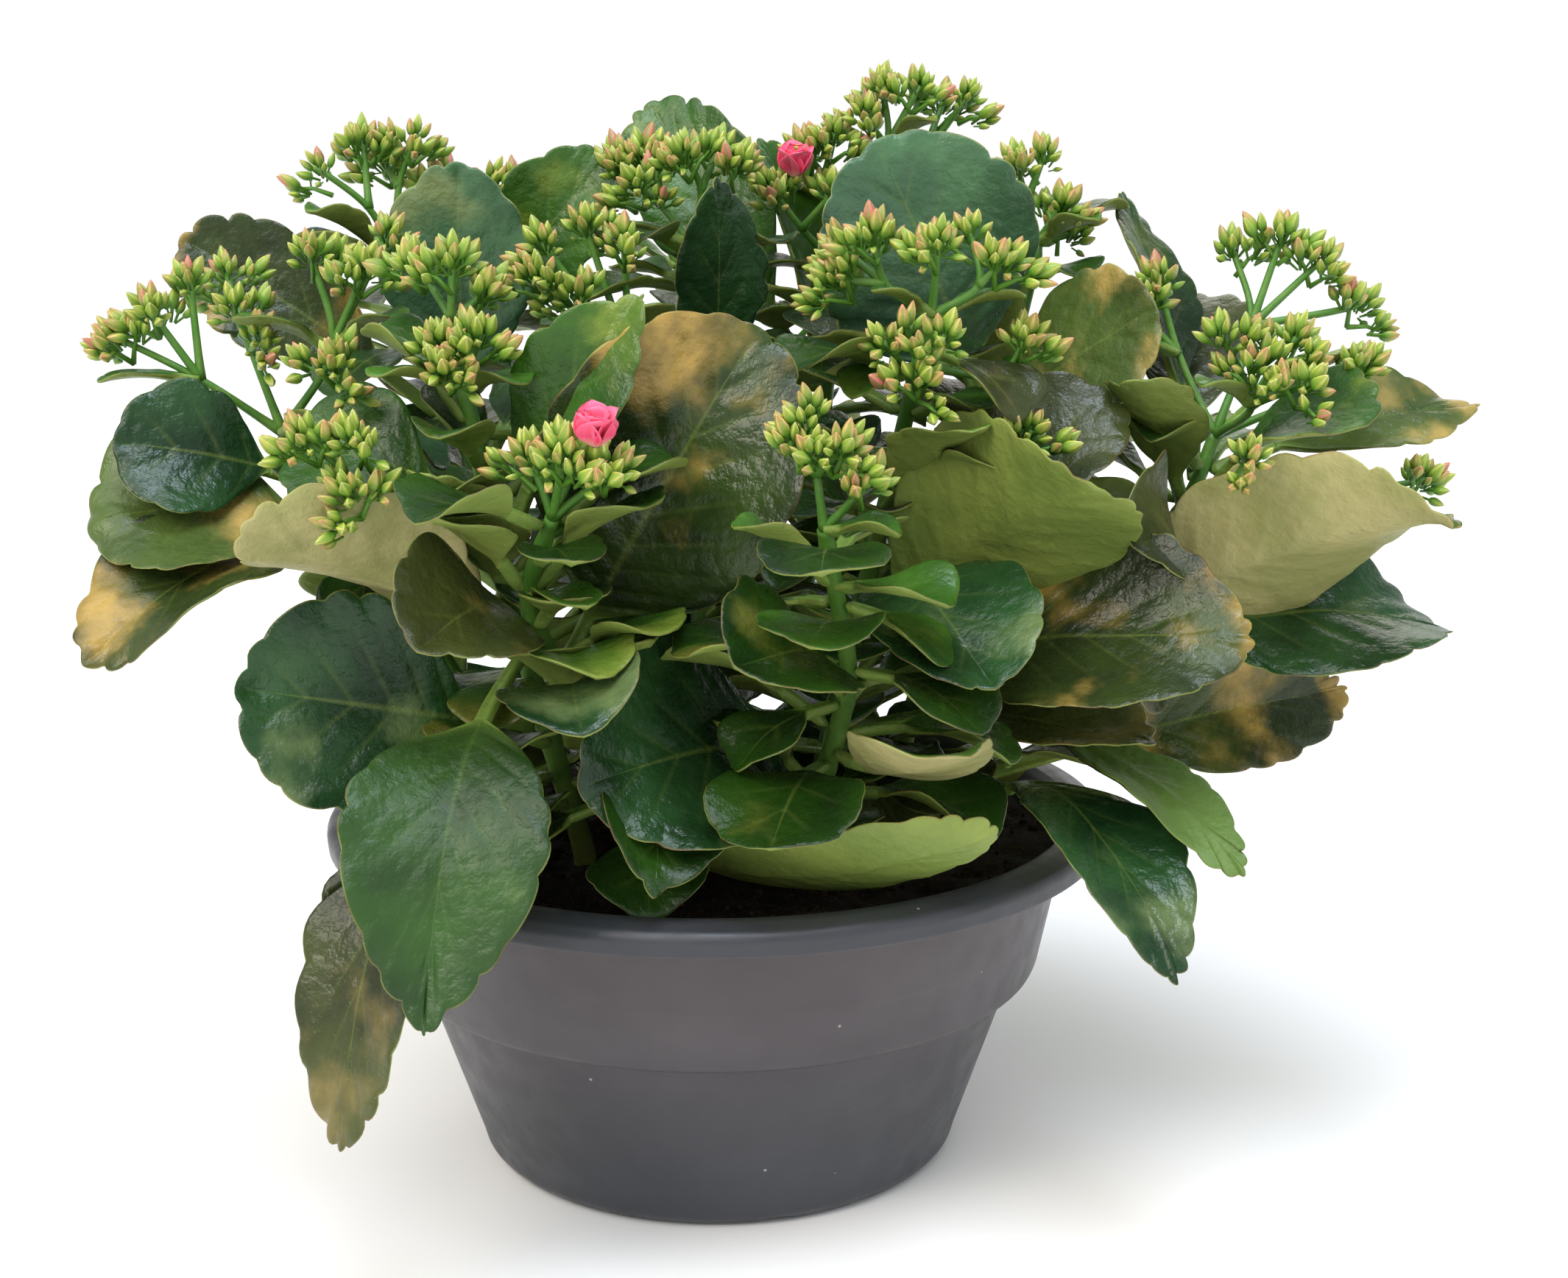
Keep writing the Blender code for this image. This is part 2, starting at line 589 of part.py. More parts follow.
def bract_mesh(fork, tip, width):
    """A young leaf that grows out of its fork: it starts inside the stalk."""
    root, end = place(fork), place(tip)
    along = (end - root).normalized()
    faces = Vector((0.0, 0.0, 1.0)) - along * 0.6
    return leaf_mesh(root, end, faces, width * MM, BRACT_ARCH * (end - root).length, BRACT_CUP,
                     BRACT_THICKNESS, BRACT_STATIONS)


def stem_pieces(stem):
    """The closed meshes that one flower stem is joined from."""
    axis = [place(point) for point in stem.axis]
    foot = Vector((axis[0].x, axis[0].y, POT_HEIGHT - SOIL_DROP + SOIL_MOUND - ROOT_DEPTH))
    axis = [foot] + axis
    radii = [STEM_RADIUS] * 2 + [STEM_RADIUS * (1.0 - 0.09 * i) for i in range(1, len(axis) - 1)]
    pieces = [tube("axis", axis, radii, 1)]
    for stalk in stem.stalks:
        points = [place(point) for point in stalk]
        radii = [STALK_RADIUS * 1.25] + [STALK_RADIUS] * (len(points) - 1)
        pieces.append(tube("stalk", points, radii, 0))
        pieces.append(bud_head(points[-1]))
    pieces += [bract_mesh(*bract) for bract in stem.bracts]
    return [mesh_from(piece, "stem_piece") for piece in pieces]


def build_flower_stem(letter, meshes, collection, cutters, mat):
    """One flower stem, its pieces joined into one solid by a union."""
    first, *rest = meshes
    obj = add_object(f"flower_stem_{letter}", first, collection, mat)
    group = bpy.data.collections.new(f"pieces_of_{letter}")
    cutters.children.link(group)
    for mesh in rest:
        piece = add_object(f"piece_{letter}", mesh, group)
        piece.hide_render = True
        piece.display_type = "WIRE"
    union = obj.modifiers.new("join", "BOOLEAN")
    union.operation = "UNION"
    union.solver = "EXACT"
    union.operand_type = "COLLECTION"
    union.collection = group
    return obj


def surface_of(obj):
    """The object's evaluated shape, as a tree for overlap tests."""
    bpy.context.view_layer.update()
    graph = bpy.context.evaluated_depsgraph_get()
    mesh = obj.evaluated_get(graph).to_mesh()
    tree = BVHTree.FromPolygons([v.co.copy() for v in mesh.vertices],
                                [tuple(p.vertices) for p in mesh.polygons])
    obj.evaluated_get(graph).to_mesh_clear()
    return tree


def build_flower(name, collection, mat, placed):
    """An open flower, seated a gap off the head of buds that it stands in."""
    bm = lobed_ball(place(FLOWERS[name]), FLOWER_RADIUS, FLOWER_HEIGHT, 4, 5)
    tree = BVHTree.FromBMesh(bm)
    while any(tree.overlap(other) for other in placed.values()):
        bmesh.ops.translate(bm, verts=bm.verts, vec=(0.0, 0.0, CLEARANCE))
        tree = BVHTree.FromBMesh(bm)
    bmesh.ops.translate(bm, verts=bm.verts, vec=(0.0, 0.0, CLEARANCE))
    return add_object(name, mesh_from(bm, name), collection, mat)


def axis_point(stem, height):
    """The point of a stem's axis at a height above the rim."""
    for low, high in zip(stem.axis, stem.axis[1:]):
        if height <= high[2] or high is stem.axis[-1]:
            share = (height - low[2]) / (high[2] - low[2])
            return place(low).lerp(place(high), share)


def turns():
    """Small turns to try, the least first: (swing, tilt, roll) in degrees."""
    yield 0, 0, 0
    for size in range(TURN_STEP, TURN_LIMIT + 1, TURN_STEP):
        for swing, tilt, roll in ((0, 1, 0), (0, -1, 0), (1, 0, 0), (-1, 0, 0), (0, 0, 1),
                                  (0, 0, -1), (1, 1, 0), (-1, 1, 0), (1, -1, 0), (-1, -1, 0),
                                  (0, 1, 1), (0, -1, -1), (1, 0, 1), (-1, 0, -1)):
            yield swing * size, tilt * size, roll * size


def settle_leaf(name, collection, mat, placed):
    """A leaf turned about its root, as little as clears every piece that is already there.

    A leaf that finds no room at its full size is tried again a little smaller.
    """
    leaf = LEAVES[name]
    stem_tree = placed[f"flower_stem_{leaf.stem}"]
    axis = axis_point(STEMS[leaf.stem], leaf.height)
    reach = place(leaf.tip) - axis
    level = Vector((reach.x, reach.y, 0.0)).normalized()
    spot, normal, _, _ = stem_tree.find_nearest(axis + level * 2 * STEM_RADIUS)
    root = spot + normal * CLEARANCE
    chord = place(leaf.tip) - root
    faces = direction(*leaf.faces)
    across = chord.cross(Vector((0.0, 0.0, 1.0))).normalized()
    for size in LEAF_SIZES:
        for swing, tilt, roll in turns():
            turn = (Matrix.Rotation(math.radians(swing), 3, "Z")
                    @ Matrix.Rotation(math.radians(tilt), 3, across)
                    @ Matrix.Rotation(math.radians(roll), 3, chord.normalized()))
            bm = leaf_mesh(root, root + turn @ (chord * size), turn @ faces,
                           leaf.width * size * MM, leaf.arch * size * MM, leaf.cup,
                           LEAF_THICKNESS, LEAF_STATIONS)
            bm.normal_update()
            grown = [v.co + v.normal * 0.5 * CLEARANCE for v in bm.verts]
            corners = [tuple(v.index for v in face.verts) for face in bm.faces]
            tree = BVHTree.FromPolygons(grown, corners)
            if not any(tree.overlap(other) for other in placed.values()):
                placed[name] = tree
                print(f"{name}: size {size}, swing {swing}, tilt {tilt}, roll {roll}")
                return add_object(name, mesh_from(bm, name), collection, mat)
            bm.free()
    raise RuntimeError(f"{name} finds no room")


def main():
    clear_scene()
    collection = new_collection("potted_kalanchoe")
    cutters = new_collection("cutters")
    pot = build_pot(collection, cutters)
    soil = build_soil(collection, cutters)
    placed = {"pot": surface_of(pot), "soil": surface_of(soil)}
    stem_green = material("stem_and_buds", (0.22, 0.38, 0.06), 0.5)
    petal_pink = material("petals", (0.85, 0.10, 0.20), 0.5)
    leaf_green = material("leaf", (0.045, 0.13, 0.035), 0.35)
    meshes = {letter: stem_pieces(stem) for letter, stem in STEMS.items()}
    stems = [build_flower_stem(letter, meshes[letter], collection, cutters, stem_green)
             for letter in STEMS]
    for obj in stems:
        placed[obj.name] = surface_of(obj)
    for name in FLOWERS:
        obj = build_flower(name, collection, petal_pink, placed)
        placed[name] = surface_of(obj)
    for name in LEAVES:
        settle_leaf(name, collection, leaf_green, placed)


main()
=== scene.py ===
"""Looks of a potted kalanchoe in bud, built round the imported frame.

Metres, +Z up, the bowl's axis at x = y = 0 and the front at -Y. Leaves take their place and size
from the frame's leaf nodes. The rows of the flower stems repeat those of the stems' solids, in
millimetres: x and y from the bowl's axis and z above its rim.
"""

from __future__ import annotations

import json
import logging
import math
from collections.abc import Iterable, Mapping
from dataclasses import dataclass
from enum import Enum

import bmesh
import bpy
import numpy as np
from mathutils.bvhtree import BVHTree
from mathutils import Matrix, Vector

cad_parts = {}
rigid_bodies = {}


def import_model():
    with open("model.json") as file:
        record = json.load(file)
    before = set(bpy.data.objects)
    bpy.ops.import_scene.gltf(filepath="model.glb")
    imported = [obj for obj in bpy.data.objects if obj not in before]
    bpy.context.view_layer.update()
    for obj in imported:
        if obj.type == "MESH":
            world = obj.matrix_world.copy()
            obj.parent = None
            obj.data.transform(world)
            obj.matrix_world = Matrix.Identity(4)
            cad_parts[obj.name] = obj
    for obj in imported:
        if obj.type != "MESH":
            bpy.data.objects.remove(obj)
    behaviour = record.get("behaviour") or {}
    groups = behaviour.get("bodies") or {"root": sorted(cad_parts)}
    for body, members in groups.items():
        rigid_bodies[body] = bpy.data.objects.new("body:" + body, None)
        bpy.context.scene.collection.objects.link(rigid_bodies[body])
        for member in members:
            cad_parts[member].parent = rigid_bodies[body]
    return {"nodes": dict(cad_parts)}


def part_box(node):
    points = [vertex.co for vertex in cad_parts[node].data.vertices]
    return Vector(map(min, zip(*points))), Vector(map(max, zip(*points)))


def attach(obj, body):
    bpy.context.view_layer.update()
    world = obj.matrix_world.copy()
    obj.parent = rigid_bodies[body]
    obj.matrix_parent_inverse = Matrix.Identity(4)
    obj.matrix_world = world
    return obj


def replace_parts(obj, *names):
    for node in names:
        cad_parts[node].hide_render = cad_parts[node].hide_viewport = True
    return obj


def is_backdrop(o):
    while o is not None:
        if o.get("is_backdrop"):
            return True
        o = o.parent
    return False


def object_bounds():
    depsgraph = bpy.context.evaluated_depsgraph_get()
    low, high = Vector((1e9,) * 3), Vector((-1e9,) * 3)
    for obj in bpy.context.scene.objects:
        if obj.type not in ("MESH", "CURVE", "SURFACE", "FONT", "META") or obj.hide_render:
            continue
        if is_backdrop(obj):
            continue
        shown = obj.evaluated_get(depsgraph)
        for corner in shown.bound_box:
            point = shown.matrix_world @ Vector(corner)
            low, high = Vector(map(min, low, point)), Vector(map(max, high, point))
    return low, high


LOG = logging.getLogger("kalanchoe")
Array = np.ndarray
MM = 0.001
UP = np.array([0.0, 0.0, 1.0])
WELD = 1e-6  # points closer than this are one point


# ---------------------------------------------------------------- numbers, noise and meshes


def linear(colour: str) -> tuple[float, float, float, float]:
    """Turns an sRGB hex colour to linear light.

    Args:
        colour: six hex digits after a hash.

    Returns:
        Red, green, blue and an alpha of 1.
    """
    parts = [int(colour[i : i + 2], 16) / 255 for i in (1, 3, 5)]
    return (*(p / 12.92 if p <= 0.04045 else ((p + 0.055) / 1.055) ** 2.4 for p in parts), 1.0)


def unit(vectors: Array) -> Array:
    """The same directions with length 1."""
    return vectors / np.linalg.norm(vectors, axis=-1, keepdims=True)


def ease(value: Array | float, low: float, high: float) -> Array:
    """0 below low, 1 above high, and the smoothstep 3t^2 - 2t^3 between them."""
    part = np.clip((np.asarray(value, float) - low) / (high - low), 0.0, 1.0)
    return part * part * (3.0 - 2.0 * part)


def value_noise(points: Array, size: float, seed: int) -> Array:
    """Smooth noise: a hashed value at each corner of a cubic lattice, eased between corners.

    Args:
        points: places, with three coordinates in the last axis.
        size: lattice spacing in metres.
        seed: picks another pattern.

    Returns:
        A value from -1 to 1 for each point.
    """
    grid = np.asarray(points, float) / size
    cell = np.floor(grid).astype(np.int64)
    part = grid - cell
    part = part * part * (3.0 - 2.0 * part)
    total = np.zeros(grid.shape[:-1])
    for corner in range(8):
        step = np.array([(corner >> axis) & 1 for axis in range(3)])
        weight = np.prod(np.where(step, part, 1.0 - part), axis=-1)
        key = ((cell + step) * np.array([73856093, 19349663, 83492791])).sum(-1) + seed * 7919
        key = (key ^ (key >> 13)) * 1274126177 & 0xFFFFFFFF
        total += weight * ((key ^ (key >> 16)) & 0xFFFF) / 65535.0
    return 2.0 * total - 1.0


def smooth_path(points: Array, count: int) -> Array:
    """Points along a Catmull-Rom curve through the given ones, spaced evenly between knots.

    Args:
        points: the knots, (n, 3).
        count: points for each stretch between two knots.

    Returns:
        The curve's points, (m, 3).
    """
    knots = np.vstack([2 * points[0] - points[1], points, 2 * points[-1] - points[-2]])
    share = np.arange(count)[:, None, None] / count
    a, b, c, d = (knots[i : len(knots) - 3 + i][None] for i in range(4))
    curve = 0.5 * (
        2 * b + (c - a) * share + (2 * a - 5 * b + 4 * c - d) * share**2
        + (3 * b - a - 3 * c + d) * share**3
    )
    return np.vstack([curve.transpose(1, 0, 2).reshape(-1, 3), points[-1:]])


@dataclass
class Shell:
    """A surface on its way to a mesh.

    points: (n, 3). lay and tone: (n, 2) each, two pairs of values that the finishes read.
    faces: (m, 4) point numbers. finish: (m,) which of the piece's finishes each face has.
    """

    points: Array
    lay: Array
    tone: Array
    faces: Array
    finish: Array

    @staticmethod
    def grid(points: Array, lay: Array, tone: Array, finish: int = 0, around: bool = False,
             turned: bool = False) -> Shell:
        """A shell from a grid of points.

        Args:
            points: (columns, rows, 3).
            lay: (columns, rows, 2).
            tone: (columns, rows, 2).
            finish: the finish of every face.
            around: whether the last column joins the first.
            turned: whether the faces look the other way.

        Returns:
            The shell, with a quad between each four neighbours.
        """
        columns, rows = points.shape[:2]
        first = np.arange(columns if around else columns - 1)[:, None]
        row = np.arange(rows - 1)[None, :]
        low, high = first * rows + row, (first + 1) % columns * rows + row
        faces = np.stack([low, high, high + 1, low + 1], -1).reshape(-1, 4)
        if turned:
            faces = faces[:, ::-1]
        return Shell(points.reshape(-1, 3), np.array(lay).reshape(-1, 2),
                     np.array(tone).reshape(-1, 2), faces, np.full(len(faces), finish))

    @staticmethod
    def joined(shells: Iterable[Shell]) -> Shell:
        """All the shells as one."""
        shells = list(shells)
        starts = np.cumsum([0] + [len(s.points) for s in shells[:-1]])
        return Shell(
            np.vstack([s.points for s in shells]), np.vstack([s.lay for s in shells]),
            np.vstack([s.tone for s in shells]),
            np.vstack([s.faces + start for s, start in zip(shells, starts)]),
            np.concatenate([s.finish for s in shells]),
        )

    def copies(self, places: Array, turns: Array, sizes: Array, tones: Array) -> Shell:
        """Many copies of this shell, each sized, turned and moved.

        Args:
            places: (k, 3).
            turns: (k, 3, 3), the copy's own axes as columns.
            sizes: (k, 3), the scale along each of its own axes.
            tones: (k, 2), the tone of each copy.

        Returns:
            One shell of all the copies.
        """
        count, size = len(places), len(self.points)
        points = np.einsum("kij,knj->kni", turns, self.points[None] * sizes[:, None]) + places[:, None]
        faces = self.faces[None] + (np.arange(count) * size)[:, None, None]
        return Shell(points.reshape(-1, 3), np.tile(self.lay, (count, 1)),
                     np.repeat(tones, size, axis=0), faces.reshape(-1, 4),
                     np.tile(self.finish, count))

    def tree(self) -> BVHTree:
        """The surface as a tree for overlap tests."""
        return BVHTree.FromPolygons(self.points.tolist(), self.faces.tolist())

    def piece(self, name: str, finishes: Iterable[bpy.types.Material], slot: str) -> bpy.types.Object:
        """Makes the piece: welds its seams and poles, dresses it and lets it ride on the frame.

        Args:
            name: the piece's name.
            finishes: its materials, in the order that the faces name them.
            slot: the record's material slot; not used.

        Returns:
            The new object, at the origin.
        """
        mesh = bpy.data.meshes.new(name)
        mesh.from_pydata(self.points.tolist(), [], self.faces.tolist())
        corners = self.faces.reshape(-1)
        for label, values in (("lay", self.lay), ("tone", self.tone)):
            layer = mesh.uv_layers.new(name=label)
            layer.data.foreach_set("uv", values[corners].astype(np.float32).reshape(-1))
        mesh.polygons.foreach_set("material_index", self.finish.astype(np.int32))
        for finish in finishes:
            mesh.materials.append(finish)
        soft = bmesh.new()
        soft.from_mesh(mesh)
        bmesh.ops.remove_doubles(soft, verts=soft.verts, dist=WELD)
        bmesh.ops.recalc_face_normals(soft, faces=soft.faces)
        soft.to_mesh(mesh)
        soft.free()
        mesh.shade_smooth()
        made = bpy.data.objects.new(name, mesh)
        bpy.context.scene.collection.objects.link(made)
        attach(made, "root")
        LOG.info("%s: %d faces", name, len(mesh.polygons))
        return made


def tube(path: Array, radii: Array, sides: int, tone: tuple[float, float] = (0.0, 0.0)) -> Shell:
    """A round tube: a circle of the path's radius carried along it square to its direction,
    closed by a point at each end.

    Args:
        path: (n, 3).
        radii: (n,).
        sides: faces round the tube.
        tone: the tone of the whole tube.

    Returns:
        The closed tube; lay holds metres along it and the share of a turn round it.
    """
    ahead = unit(np.gradient(path, axis=0))
    aside = np.eye(3)[np.argmin(np.abs(ahead).max(axis=0))]
    first = unit(np.cross(ahead, aside))
    second = np.cross(ahead, first)
    turn = np.linspace(0.0, 2.0 * np.pi, sides, endpoint=False)[:, None, None]
    ring = np.cos(turn) * first + np.sin(turn) * second
    points = path + ring * radii[:, None]
    ends = [np.broadcast_to(path[i], (sides, 1, 3)) for i in (0, -1)]
    points = np.concatenate([ends[0], points, ends[1]], axis=1)
    run = np.concatenate([[0.0], np.cumsum(np.linalg.norm(np.diff(path, axis=0), axis=1))])
    run = np.concatenate([run[:1], run, run[-1:]])
    lay = np.stack(np.broadcast_arrays(run[None], np.arange(sides)[:, None] / sides), -1)
    return Shell.grid(points, lay, np.broadcast_to(tone, lay.shape), around=True)


# ---------------------------------------------------------------- finishes


def add(tree: bpy.types.NodeTree, kind: str, inputs: Mapping[str | int, object] | None = None,
        stops: Iterable[tuple[float, str]] = (), **settings: object) -> bpy.types.Node:
    """Adds a node.

    Args:
        tree: where it goes.
        kind: its type, without the word ShaderNode.
        inputs: for each socket, by name or number, its value or the socket that feeds it.
        stops: for a colour ramp, (place, hex colour) pairs.
        settings: the node's own properties.

    Returns:
        The node.
    """
    made = tree.nodes.new("ShaderNode" + kind)
    for key, value in settings.items():
        setattr(made, key, value)
    for key, value in (inputs or {}).items():
        if isinstance(value, bpy.types.NodeSocket):
            tree.links.new(value, made.inputs[key])
        else:
            made.inputs[key].default_value = value
    for i, (place, colour) in enumerate(stops):
        ramp = made.color_ramp.elements
        stop = ramp[i] if i < 2 else ramp.new(place)
        stop.position, stop.color = place, linear(colour)
    return made


class Finish:
    """What every finish shares: a material whose colour, roughness and relief come from nodes."""

    def start(self, name: str, **shader: float) -> tuple[
            bpy.types.Material, bpy.types.NodeTree, bpy.types.Node]:
        """Makes the material.

        Args:
            name: the material's name.
            shader: values of the shader's own sockets, with _ for each space.

        Returns:
            The material, its node tree and its Principled shader.
        """
        material = bpy.data.materials.new(name)
        material.use_nodes = True
        tree = material.node_tree
        principled = tree.nodes["Principled BSDF"]
        for key, value in shader.items():
            principled.inputs[key.replace("_", " ")].default_value = value
        return material, tree, principled

    def mixed(self, tree: bpy.types.NodeTree, share: object, first: object,
              second: object) -> bpy.types.NodeSocket:
        """The colour between two, by a share."""
        return add(tree, "Mix", {0: share, 6: first, 7: second}, data_type="RGBA").outputs[2]

    def ranged(self, tree: bpy.types.NodeTree, value: object, low: float, high: float,
               start: float = 0.0, end: float = 1.0) -> bpy.types.NodeSocket:
        """The value eased from start at low to end at high."""
        return add(tree, "MapRange", {"Value": value, "From Min": low, "From Max": high,
                                      "To Min": start, "To Max": end},
                   interpolation_type="SMOOTHSTEP").outputs[0]

    def speckle(self, tree: bpy.types.NodeTree, size: float, detail: float = 2.0,
                vector: object = None) -> bpy.types.NodeSocket:
        """Noise on Object coordinates with features of a size in metres."""
        where = vector or add(tree, "TexCoord").outputs["Object"]
        return add(tree, "TexNoise", {"Vector": where, "Scale": 1.0 / size,
                                      "Detail": detail}).outputs["Fac"]

    def pair(self, tree: bpy.types.NodeTree, label: str) -> tuple[bpy.types.NodeSocket, ...]:
        """The two values of one of the piece's own pattern maps."""
        parts = add(tree, "SeparateXYZ", {0: add(tree, "UVMap", uv_map=label).outputs[0]})
        return parts.outputs[0], parts.outputs[1]

    def relief(self, tree: bpy.types.NodeTree, principled: bpy.types.Node, height: object,
               depth: float, strength: float = 1.0) -> None:
        """Gives the shader a relief of a depth in metres."""
        bump = add(tree, "Bump", {"Height": height, "Distance": depth, "Strength": strength})
        tree.links.new(bump.outputs[0], principled.inputs["Normal"])


@dataclass(frozen=True)
class LeafTissue(Finish):
    """Living succulent leaf, grown with a waxy skin: it gives a dark puckered gloss above, a
    paler dull side below, a thin light margin and ochre patches that are painted highlights:
    gold sheen painted into the colour where light falls.

    deep and mid are the upper side's greens; the third colour and share are the colour and the
    amount of its painted highlights, toward_tip how much more of them there is near the tip, under
    and under_vein its lower side.
    """

    name: str
    deep: str
    mid: str
    painted_highlight: str
    share: float
    under: str = "#808f42"
    under_vein: str = "#637833"
    sheen_low: float = 0.25
    toward_tip: float = 0.04

    MOTTLE = 0.026  # metres across a lighter or darker area
    PATCH = 0.042  # metres across a painted highlight patch
    PUCKER = 0.0034  # the skin's puckers are 3 to 4 mm apart
    GRAIN = 0.0008  # skin cells, drawn coarser than they are so that they show

    def build(self) -> bpy.types.Material:
        """The material. lay is (share from midrib to margin, vein number) and tone is
        (1 on the upper side, share of the blade)."""
        material, tree, principled = self.start(self.name, IOR=1.4)
        reach, vein = self.pair(tree, "lay")
        upper, blade = self.pair(tree, "tone")
        mottle = self.speckle(tree, self.MOTTLE, 4.0)
        base = add(tree, "ValToRGB", {"Fac": mottle}, [(0.36, self.deep), (0.66, self.mid)])
        level = 0.68 - 0.26 * self.share
        # Painted highlight: gold patches from large noise, raised towards the tip, above a level that
        # the share sets; they paint in gold sheen where light falls.
        outer = self.ranged(tree, blade, 0.3, 0.85, -self.toward_tip, self.toward_tip)
        sun = add(tree, "Math", {0: self.speckle(tree, self.PATCH, 5.0), 1: outer}).outputs[0]
        painted_highlight = self.ranged(tree, sun, level - 0.04, level + 0.12, 0.0, 0.9)
        highlighted = self.mixed(tree, painted_highlight, base.outputs[0], linear(self.painted_highlight))
        to_vein = add(tree, "Math", {0: vein, 1: 0.5}, operation="PINGPONG").outputs[0]
        lines = self.ranged(tree, to_vein, 0.0, 0.12, 1.0, 0.0)
        inner = self.ranged(tree, reach, 0.15, 0.9, 0.1, 0.0)
        lines = add(tree, "Math", {0: lines, 1: inner}, operation="MULTIPLY").outputs[0]
        pale = linear(self.under)
        veined = self.mixed(tree, lines, highlighted, pale)
        rib = self.ranged(tree, reach, 0.0, 0.05, 0.24, 0.0)
        ribbed = self.mixed(tree, rib, veined, pale)
        below = self.mixed(tree, self.ranged(tree, mottle, 0.38, 0.62, 0.6, 0.0),
                           self.mixed(tree, lines, pale, linear(self.under_vein)),
                           linear(self.under_vein))
        sides = self.mixed(tree, upper, below, ribbed)
        stalk = self.ranged(tree, blade, 0.0, 0.22, 0.8, 0.0)
        stalked = self.mixed(tree, stalk, sides, linear("#7c9a45"))
        warm = self.ranged(tree, self.speckle(tree, 0.011), 0.45, 0.62)
        edge = self.mixed(tree, warm, linear("#94994a"), linear("#80603a"))
        rim = self.ranged(tree, reach, 0.984, 0.995, 0.0, 0.5)
        tree.links.new(self.mixed(tree, rim, stalked, edge), principled.inputs["Base Color"])
        pucker = self.speckle(tree, self.PUCKER, 3.0)
        waxed = self.ranged(tree, pucker, 0.3, 0.7, self.sheen_low, self.sheen_low + 0.12)
        gloss = add(tree, "Mix", {0: upper, 2: 0.52, 3: waxed}, data_type="FLOAT").outputs[0]
        tree.links.new(gloss, principled.inputs["Roughness"])
        cells = add(tree, "Math", {0: self.speckle(tree, self.GRAIN, 1.0), 1: 0.12, 2: pucker},
                    operation="MULTIPLY_ADD").outputs[0]
        self.relief(tree, principled, cells, 0.0009, 0.75)
        return material


@dataclass(frozen=True)
class StemTissue(Finish):
    """Fleshy green stem, smooth skinned: it gives a pale, even, softly shining green that is
    straw coloured at the foot."""

    name: str = "fleshy_green_stem"

    def build(self) -> bpy.types.Material:
        """The material. The tone's first value is the share of the stem's height."""
        material, tree, principled = self.start(self.name, IOR=1.42)
        height = self.pair(tree, "tone")[0]
        base = add(tree, "ValToRGB", {"Fac": height},
                   [(0.0, "#80803f"), (1.0, "#4c7c2a"), (0.3, "#587c33")])
        streak = self.speckle(tree, 0.006, 3.0)
        colour = self.mixed(tree, self.ranged(tree, streak, 0.4, 0.7, 0.0, 0.5),
                            base.outputs[0], linear("#6f9140"))
        tree.links.new(colour, principled.inputs["Base Color"])
        tree.links.new(self.ranged(tree, streak, 0.3, 0.7, 0.38, 0.5),
                       principled.inputs["Roughness"])
        self.relief(tree, principled, self.speckle(tree, 0.0015), 0.0003, 0.6)
        return material


@dataclass(frozen=True)
class BudTissue(Finish):
    """Closed kalanchoe bud: green sepals, a swollen yellow-green tube and a tip that turns
    from straw to salmon pink as it ripens."""

    name: str = "waxy_flower_bud"

    def build(self) -> bpy.types.Material:
        """The material. lay is (share of the length, share of a turn); tone is (ripeness,
        shade)."""
        material, tree, principled = self.start(self.name, IOR=1.42)
        along, around = self.pair(tree, "lay")
        ripe, shade = self.pair(tree, "tone")
        green = add(tree, "ValToRGB", {"Fac": along},
                    [(0.02, "#5c8a33"), (1.0, "#dcc983"), (0.3, "#84a03a"), (0.66, "#c1c254")])
        pink = add(tree, "ValToRGB", {"Fac": along},
                   [(0.02, "#5c8a33"), (1.0, "#e67a72"), (0.3, "#a0a64a"), (0.62, "#d6ab6c")])
        colour = self.mixed(tree, self.ranged(tree, ripe, 0.42, 0.78), green.outputs[0],
                            pink.outputs[0])
        rosy = self.mixed(tree, self.ranged(tree, along, 0.05, 0.5), linear("#b99a5a"),
                          linear("#e6707c"))
        colour = self.mixed(tree, self.ranged(tree, ripe, 0.98, 1.0), colour, rosy)
        fold = add(tree, "Math", {0: add(tree, "Math", {0: around, 1: 4.0},
                                         operation="MULTIPLY").outputs[0], 1: 0.5},
                   operation="PINGPONG").outputs[0]
        seam = self.ranged(tree, fold, 0.1, 0.3, 0.0, 0.6)
        colour = self.mixed(tree, seam, colour, linear("#5b8c2c"))
        dim = self.ranged(tree, shade, 0.0, 1.0, 0.0, 0.35)
        colour = self.mixed(tree, dim, colour, linear("#5f8c2f"))
        tree.links.new(colour, principled.inputs["Base Color"])
        tree.links.new(self.ranged(tree, self.speckle(tree, 0.002), 0.3, 0.7, 0.28, 0.42),
                       principled.inputs["Roughness"])
        self.relief(tree, principled, self.speckle(tree, 0.0009), 0.0002, 0.5)
        return material


@dataclass(frozen=True)
class PetalTissue(Finish):
    """Kalanchoe petal: thin, satin, strong pink with a paler claw and fine darker veins."""

    name: str = "pink_petal"

    def build(self) -> bpy.types.Material:
        """The material. lay is (share of the length, share of the width)."""
        material, tree, principled = self.start(self.name, IOR=1.4, Sheen_Weight=0.15)
        along, across = self.pair(tree, "lay")
        base = add(tree, "ValToRGB", {"Fac": along},
                   [(0.05, "#f6b8a8"), (1.0, "#fb6f92"), (0.35, "#f04a76")])
        line = add(tree, "Math", {0: add(tree, "Math", {0: across, 1: 9.0},
                                         operation="MULTIPLY").outputs[0], 1: 0.5},
                   operation="PINGPONG").outputs[0]
        vein = self.ranged(tree, line, 0.0, 0.2, 0.35, 0.0)
        tree.links.new(self.mixed(tree, vein, base.outputs[0], linear("#dd3463")),
                       principled.inputs["Base Color"])
        tree.links.new(self.ranged(tree, self.speckle(tree, 0.0015), 0.3, 0.7, 0.42, 0.58),
                       principled.inputs["Roughness"])
        self.relief(tree, principled, line, 0.0001, 0.5)
        return material


